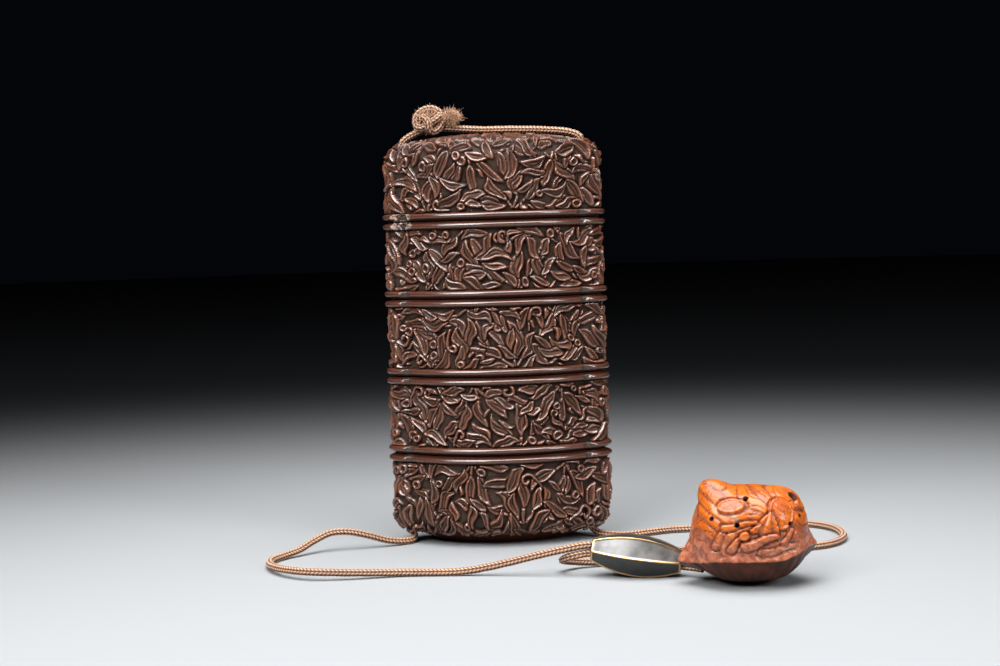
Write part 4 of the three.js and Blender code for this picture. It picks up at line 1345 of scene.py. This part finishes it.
# %% Outside of one section, with crumbs of wood where a bead has broken
def section_outside(kind, rows, height, z, chance):
    level, share_x, share_y, tilt, _, _, carved = [column[:, None] for column in rows.T]
    lobe, share = column_lobe[None, :], column_share[None, :]
    inset = BEAD_PROUD - height * np.cos(tilt)
    x, y = plan_point(lobe, share, inset)
    broken = worn_places(np.stack([x, y, (level + z) * np.ones_like(x)], -1).reshape(-1, 3))
    crumbs = 1.15 + 0.25 * chance.standard_normal(height.shape).clip(-1, 1)
    filled = ease(broken.reshape(height.shape), 0.5, 0.75) * (carved == 0) * (kind != "base")
    inset = inset * (1 - filled) + (BEAD_PROUD - crumbs) * filled
    x, y = plan_point(lobe, share, inset)
    return np.stack([x * share_x, y * share_y, level + height * np.sin(tilt)], -1)


# %% Caps below and above a section, the lid's one domed and carved
CAP_LINES, DOME_LINES = 2, 44


def section_caps(kind, outside, edge_share):
    faces, points, ridges = [], [], []
    top = (len(outside) - 1) * COLUMNS
    for upward in (False, True):
        ring = outside[-1 if upward else 0]
        domed = kind == "lid" and upward
        lines = DOME_LINES if domed else CAP_LINES
        order, mirror, index = cap_grid(lines)
        across = np.arange(1, lines)[None, :] / lines
        start, end = ring[mirror][1:-1, None, :], ring[order][1:-1, None, :]
        grid = start + (end - start) * across[..., None]
        ridge = np.zeros(grid.shape[:2])
        if domed:
            relief, ridge = dome_carving(grid[..., 0], grid[..., 1], 7)
            relief = relief * (1 - 0.6 * np.exp(-((grid[..., 1] / 1.3) ** 2)))
            near = np.minimum(across, 1 - across) * np.abs(end - start)[..., 1]
            settled = ease(near, 0.0, 1.2)
            dome = dome_height(grid[..., 0], grid[..., 1], edge_share)
            grid[..., 2] = grid[..., 2] * (1 - settled) + (dome + relief) * settled
            ridge = ridge * settled
        offset = outside.size // 3 + sum(len(part) for part in points) - COLUMNS
        moved = np.where(index < COLUMNS, index + (top if upward else 0), index + offset)
        faces += cap_faces(moved, upward)
        points.append(grid.reshape(-1, 3))
        ridges.append(ridge.ravel())
    return faces, np.vstack(points), np.concatenate(ridges)


# %% Make one section
def make_section(name, node, kind, number, z):
    rows = section_rows(kind)
    relief, chance = section_relief(kind, number, rows)
    outside = section_outside(kind, rows, relief["rise"], z, chance)
    faces, cap_points, cap_ridge = section_caps(kind, outside, rows[-1, 1:3])
    points = np.vstack([outside.reshape(-1, 3), cap_points]) + [0, 0, z]
    extra = len(cap_points)
    plain = np.zeros(extra)
    on_caps = {"ridge": cap_ridge, "rise": np.full(extra, 0.5), "facet": plain, "painted_hollow_shade": plain}
    values = {key: np.concatenate([relief[key].ravel(), on_caps[key]]) for key in on_caps}
    values["carved"] = np.concatenate([np.repeat(rows[:, 6], COLUMNS), np.ones(extra)])
    values["worn"] = worn_places(points)
    piece = make_piece(name, points, tube_faces(len(rows), COLUMNS).tolist() + faces, values, [node])
    shape_with(piece, hollow_steps(kind, LID_HEIGHT if kind == "lid" else rows[:, 0].max(), z))
    print(name, len(piece.data.polygons), "faces")
    return piece


# %% The five sections
sections = [make_section("base_carving", "base_section", "base", 0, 0)]
for i, tier in enumerate(("lower", "middle", "upper")):
    sections.append(make_section(tier + "_tier_carving", tier + "_tier", "tier", i + 1,
                                 BASE_HEIGHT + i * TIER_HEIGHT))
sections.append(make_section("lid_carving", "lid", "lid", 4, BASE_HEIGHT + 3 * TIER_HEIGHT))

# %% [markdown]
# ## Carved wood
# The wood was stained dark red brown and then handled for generations. The sunk ground stayed dull and
# grey with dust, the hollows get painted shade, and the rolled rims and the beads shine reddish brown.
# The top of the lid gets painted shade, nearly black between its rims. Where a corner was knocked, the
# pale wood shows, speckled with old dirt. The stored height and ridge values place each tone, noise breaks
# it up, and a fine bump keeps the tool marks.

# %% Wood finish
wood = Finish("carved_wood", IOR=1.5, Specular_IOR_Level=0.08, Coat_Roughness=0.17, Coat_IOR=2.0)
ridge = wood.stored("ridge")
rise = wood.stored("rise")
carved = wood.stored("carved")
worn = wood.stored("worn")
facet = wood.stored("facet")
cloud = wood.noise(6, 4)
grain = wood.noise(0.45, 4, 0.6)
# painted shade on the top of the lid, nearly black between its rims
painted_lid_top_shade = wood.ease(wood.upward(), 0.0915, 0.095)
body_tone = wood.mix(wood.ease(cloud, 0.3, 0.7), (0.082, 0.040, 0.027, 1), (0.115, 0.050, 0.031, 1))
ground_tone = wood.mix(grain, (0.030, 0.017, 0.011, 1), (0.070, 0.044, 0.033, 1))
rim_tone = wood.mix(wood.ease(cloud, 0.35, 0.65), (0.145, 0.054, 0.032, 1), (0.200, 0.066, 0.033, 1))
bead_tone = wood.mix(grain, (0.054, 0.019, 0.012, 1), (0.090, 0.030, 0.017, 1))
tone = wood.mix(wood.ease(rise + 0.16 * (grain - 0.5), 0.06, 0.4), ground_tone, body_tone)
tone = wood.mix(wood.ease(ridge + 0.25 * (grain - 0.5), 0.3, 0.95), tone, rim_tone)
tone = wood.mix(carved, bead_tone, tone)
# painted shade in the hollows
tone = wood.mix(0.92 * wood.stored("painted_hollow_shade"), tone, (0.008, 0.003, 0.002, 1))
tone = wood.mix(painted_lid_top_shade * (0.85 - 0.45 * ridge), tone, (0.012, 0.005, 0.003, 1))
chipped = wood.ease(worn + 0.9 * (wood.noise(0.9, 4) - 0.5) + 0.3 * ridge, 0.62, 0.8)
bare = wood.mix(wood.ease(wood.noise(22), 0.42, 0.58), (0.42, 0.21, 0.12, 1), (0.44, 0.32, 0.28, 1))
bare = wood.mix(wood.ease(wood.noise(0.7, 4), 0.4, 0.62), (0.07, 0.04, 0.03, 1), bare)
tone = wood.mix(chipped, tone, bare)
tone = wood.mix(wood.ease(facet + 0.5 * (grain - 0.5), 0.4, 0.7), tone, (0.055, 0.040, 0.032, 1))
shine = wood.ease(ridge, 0.2, 0.9)
wood.feed(
    Base_Color=tone,
    Roughness=0.55 - 0.27 * shine + 0.2 * (grain - 0.5) + 0.25 * chipped,
    Coat_Weight=(0.04 + (0.68 + 0.14 * carved) * shine) * (1 - chipped) * (1 - 0.7 * painted_lid_top_shade),
    Normal=wood.bump(grain, 0.05, 0.5),
)
wood.dress(*sections)
print("wood on", len(sections), "sections")

# %% [markdown]
# ## Cord routes and lengths
# The start, real length and route of each free cord are worked out in metres. The two strands run from
# the holes in the base into the toggle, and the third cord ties the lid down.

left_cord, left_route, left_length = strands["cord_left_strand"]
right_cord, right_route, right_length = strands["cord_right_strand"]
left_route[0] * MM
left_length * MM
left_route * MM
right_route[0] * MM
right_length * MM
right_route * MM
lid_route[0] * MM
lid_length * MM
lid_route * MM
print("cords declared:", round(left_length, 1), round(right_length, 1), round(lid_length, 1), "mm")

# %% [markdown]
# ## Floor and light
# The case stands on a pale matt floor with a painted pool of light: a round fade in the floor's own
# colour makes it fall into the dark behind, for every side alike. One large soft light hangs above, so the
# beads shine along their tops and the shadows stay short, and two weaker ones in front fill the faces. The
# picture's darks are deep and its colours strong, so they are shown as they are, without a film curve.

# %% Floor
LIT_REACH = 0.345
bpy.ops.mesh.primitive_circle_add(vertices=128, radius=2.4, fill_type="NGON", location=(0, 0, 0))
floor = bpy.context.object
floor.name = "floor"
paper = Finish("paper_with_painted_light_pool", Roughness=0.95, Specular_IOR_Level=0.1)
where = paper.place()
far = paper.node("ShaderNodeVectorMath", {"operation": "DISTANCE"}, {0: where, 1: (0.02, -0.15, 0)}, "Value")
# painted pool of light: the floor's colour fades with distance from its middle
lit = (far ** 3 * (-1 / LIT_REACH ** 3)).math("EXPONENT")
paper.feed(Base_Color=paper.mix(lit, (0.0005, 0.001, 0.0018, 1), (0.262, 0.270, 0.278, 1)))
paper.dress(floor)
floor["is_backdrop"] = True
print("floor lit to about", LIT_REACH, "m from its middle")

# %% Lights
def soft_light(name, place, target, wide, high, watts):
    data = bpy.data.lights.new(name, "AREA")
    data.shape = "RECTANGLE"
    data.size, data.size_y, data.energy = wide, high, watts
    light = bpy.data.objects.new(name, data)
    back = np.array(place, float) - np.array(target, float)
    back /= np.linalg.norm(back)
    side = np.cross([0, 0, 1], back) if abs(back[2]) < 0.99 else np.array([1.0, 0, 0])
    side /= np.linalg.norm(side)
    turned = Matrix(np.column_stack([side, np.cross(back, side), back]).tolist()).to_4x4()
    turned.translation = place
    light.matrix_world = turned
    scene.collection.objects.link(light)


soft_light("overhead", (0.0, -0.10, 0.60), (0, -0.08, 0.05), 0.55, 0.56, 10.5)
soft_light("front_left", (-0.33, -0.52, 0.50), (0.01, -0.03, 0.04), 0.45, 0.30, 6.0)
soft_light("front_right", (0.55, -0.45, 0.40), (0.02, 0, 0.05), 0.20, 0.30, 2.6)
world = bpy.data.worlds.new("dark_studio")
scene.world = world
world.use_nodes = True
world.node_tree.nodes["Background"].inputs["Color"].default_value = (0.0012, 0.0016, 0.0025, 1)
scene.view_settings.view_transform = "Standard"
print("lights set")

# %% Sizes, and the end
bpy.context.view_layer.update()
shown = [piece.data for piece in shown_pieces() if piece.type == "MESH"]
print("triangles:", sum(len(face.vertices) - 2 for mesh in shown for face in mesh.polygons))
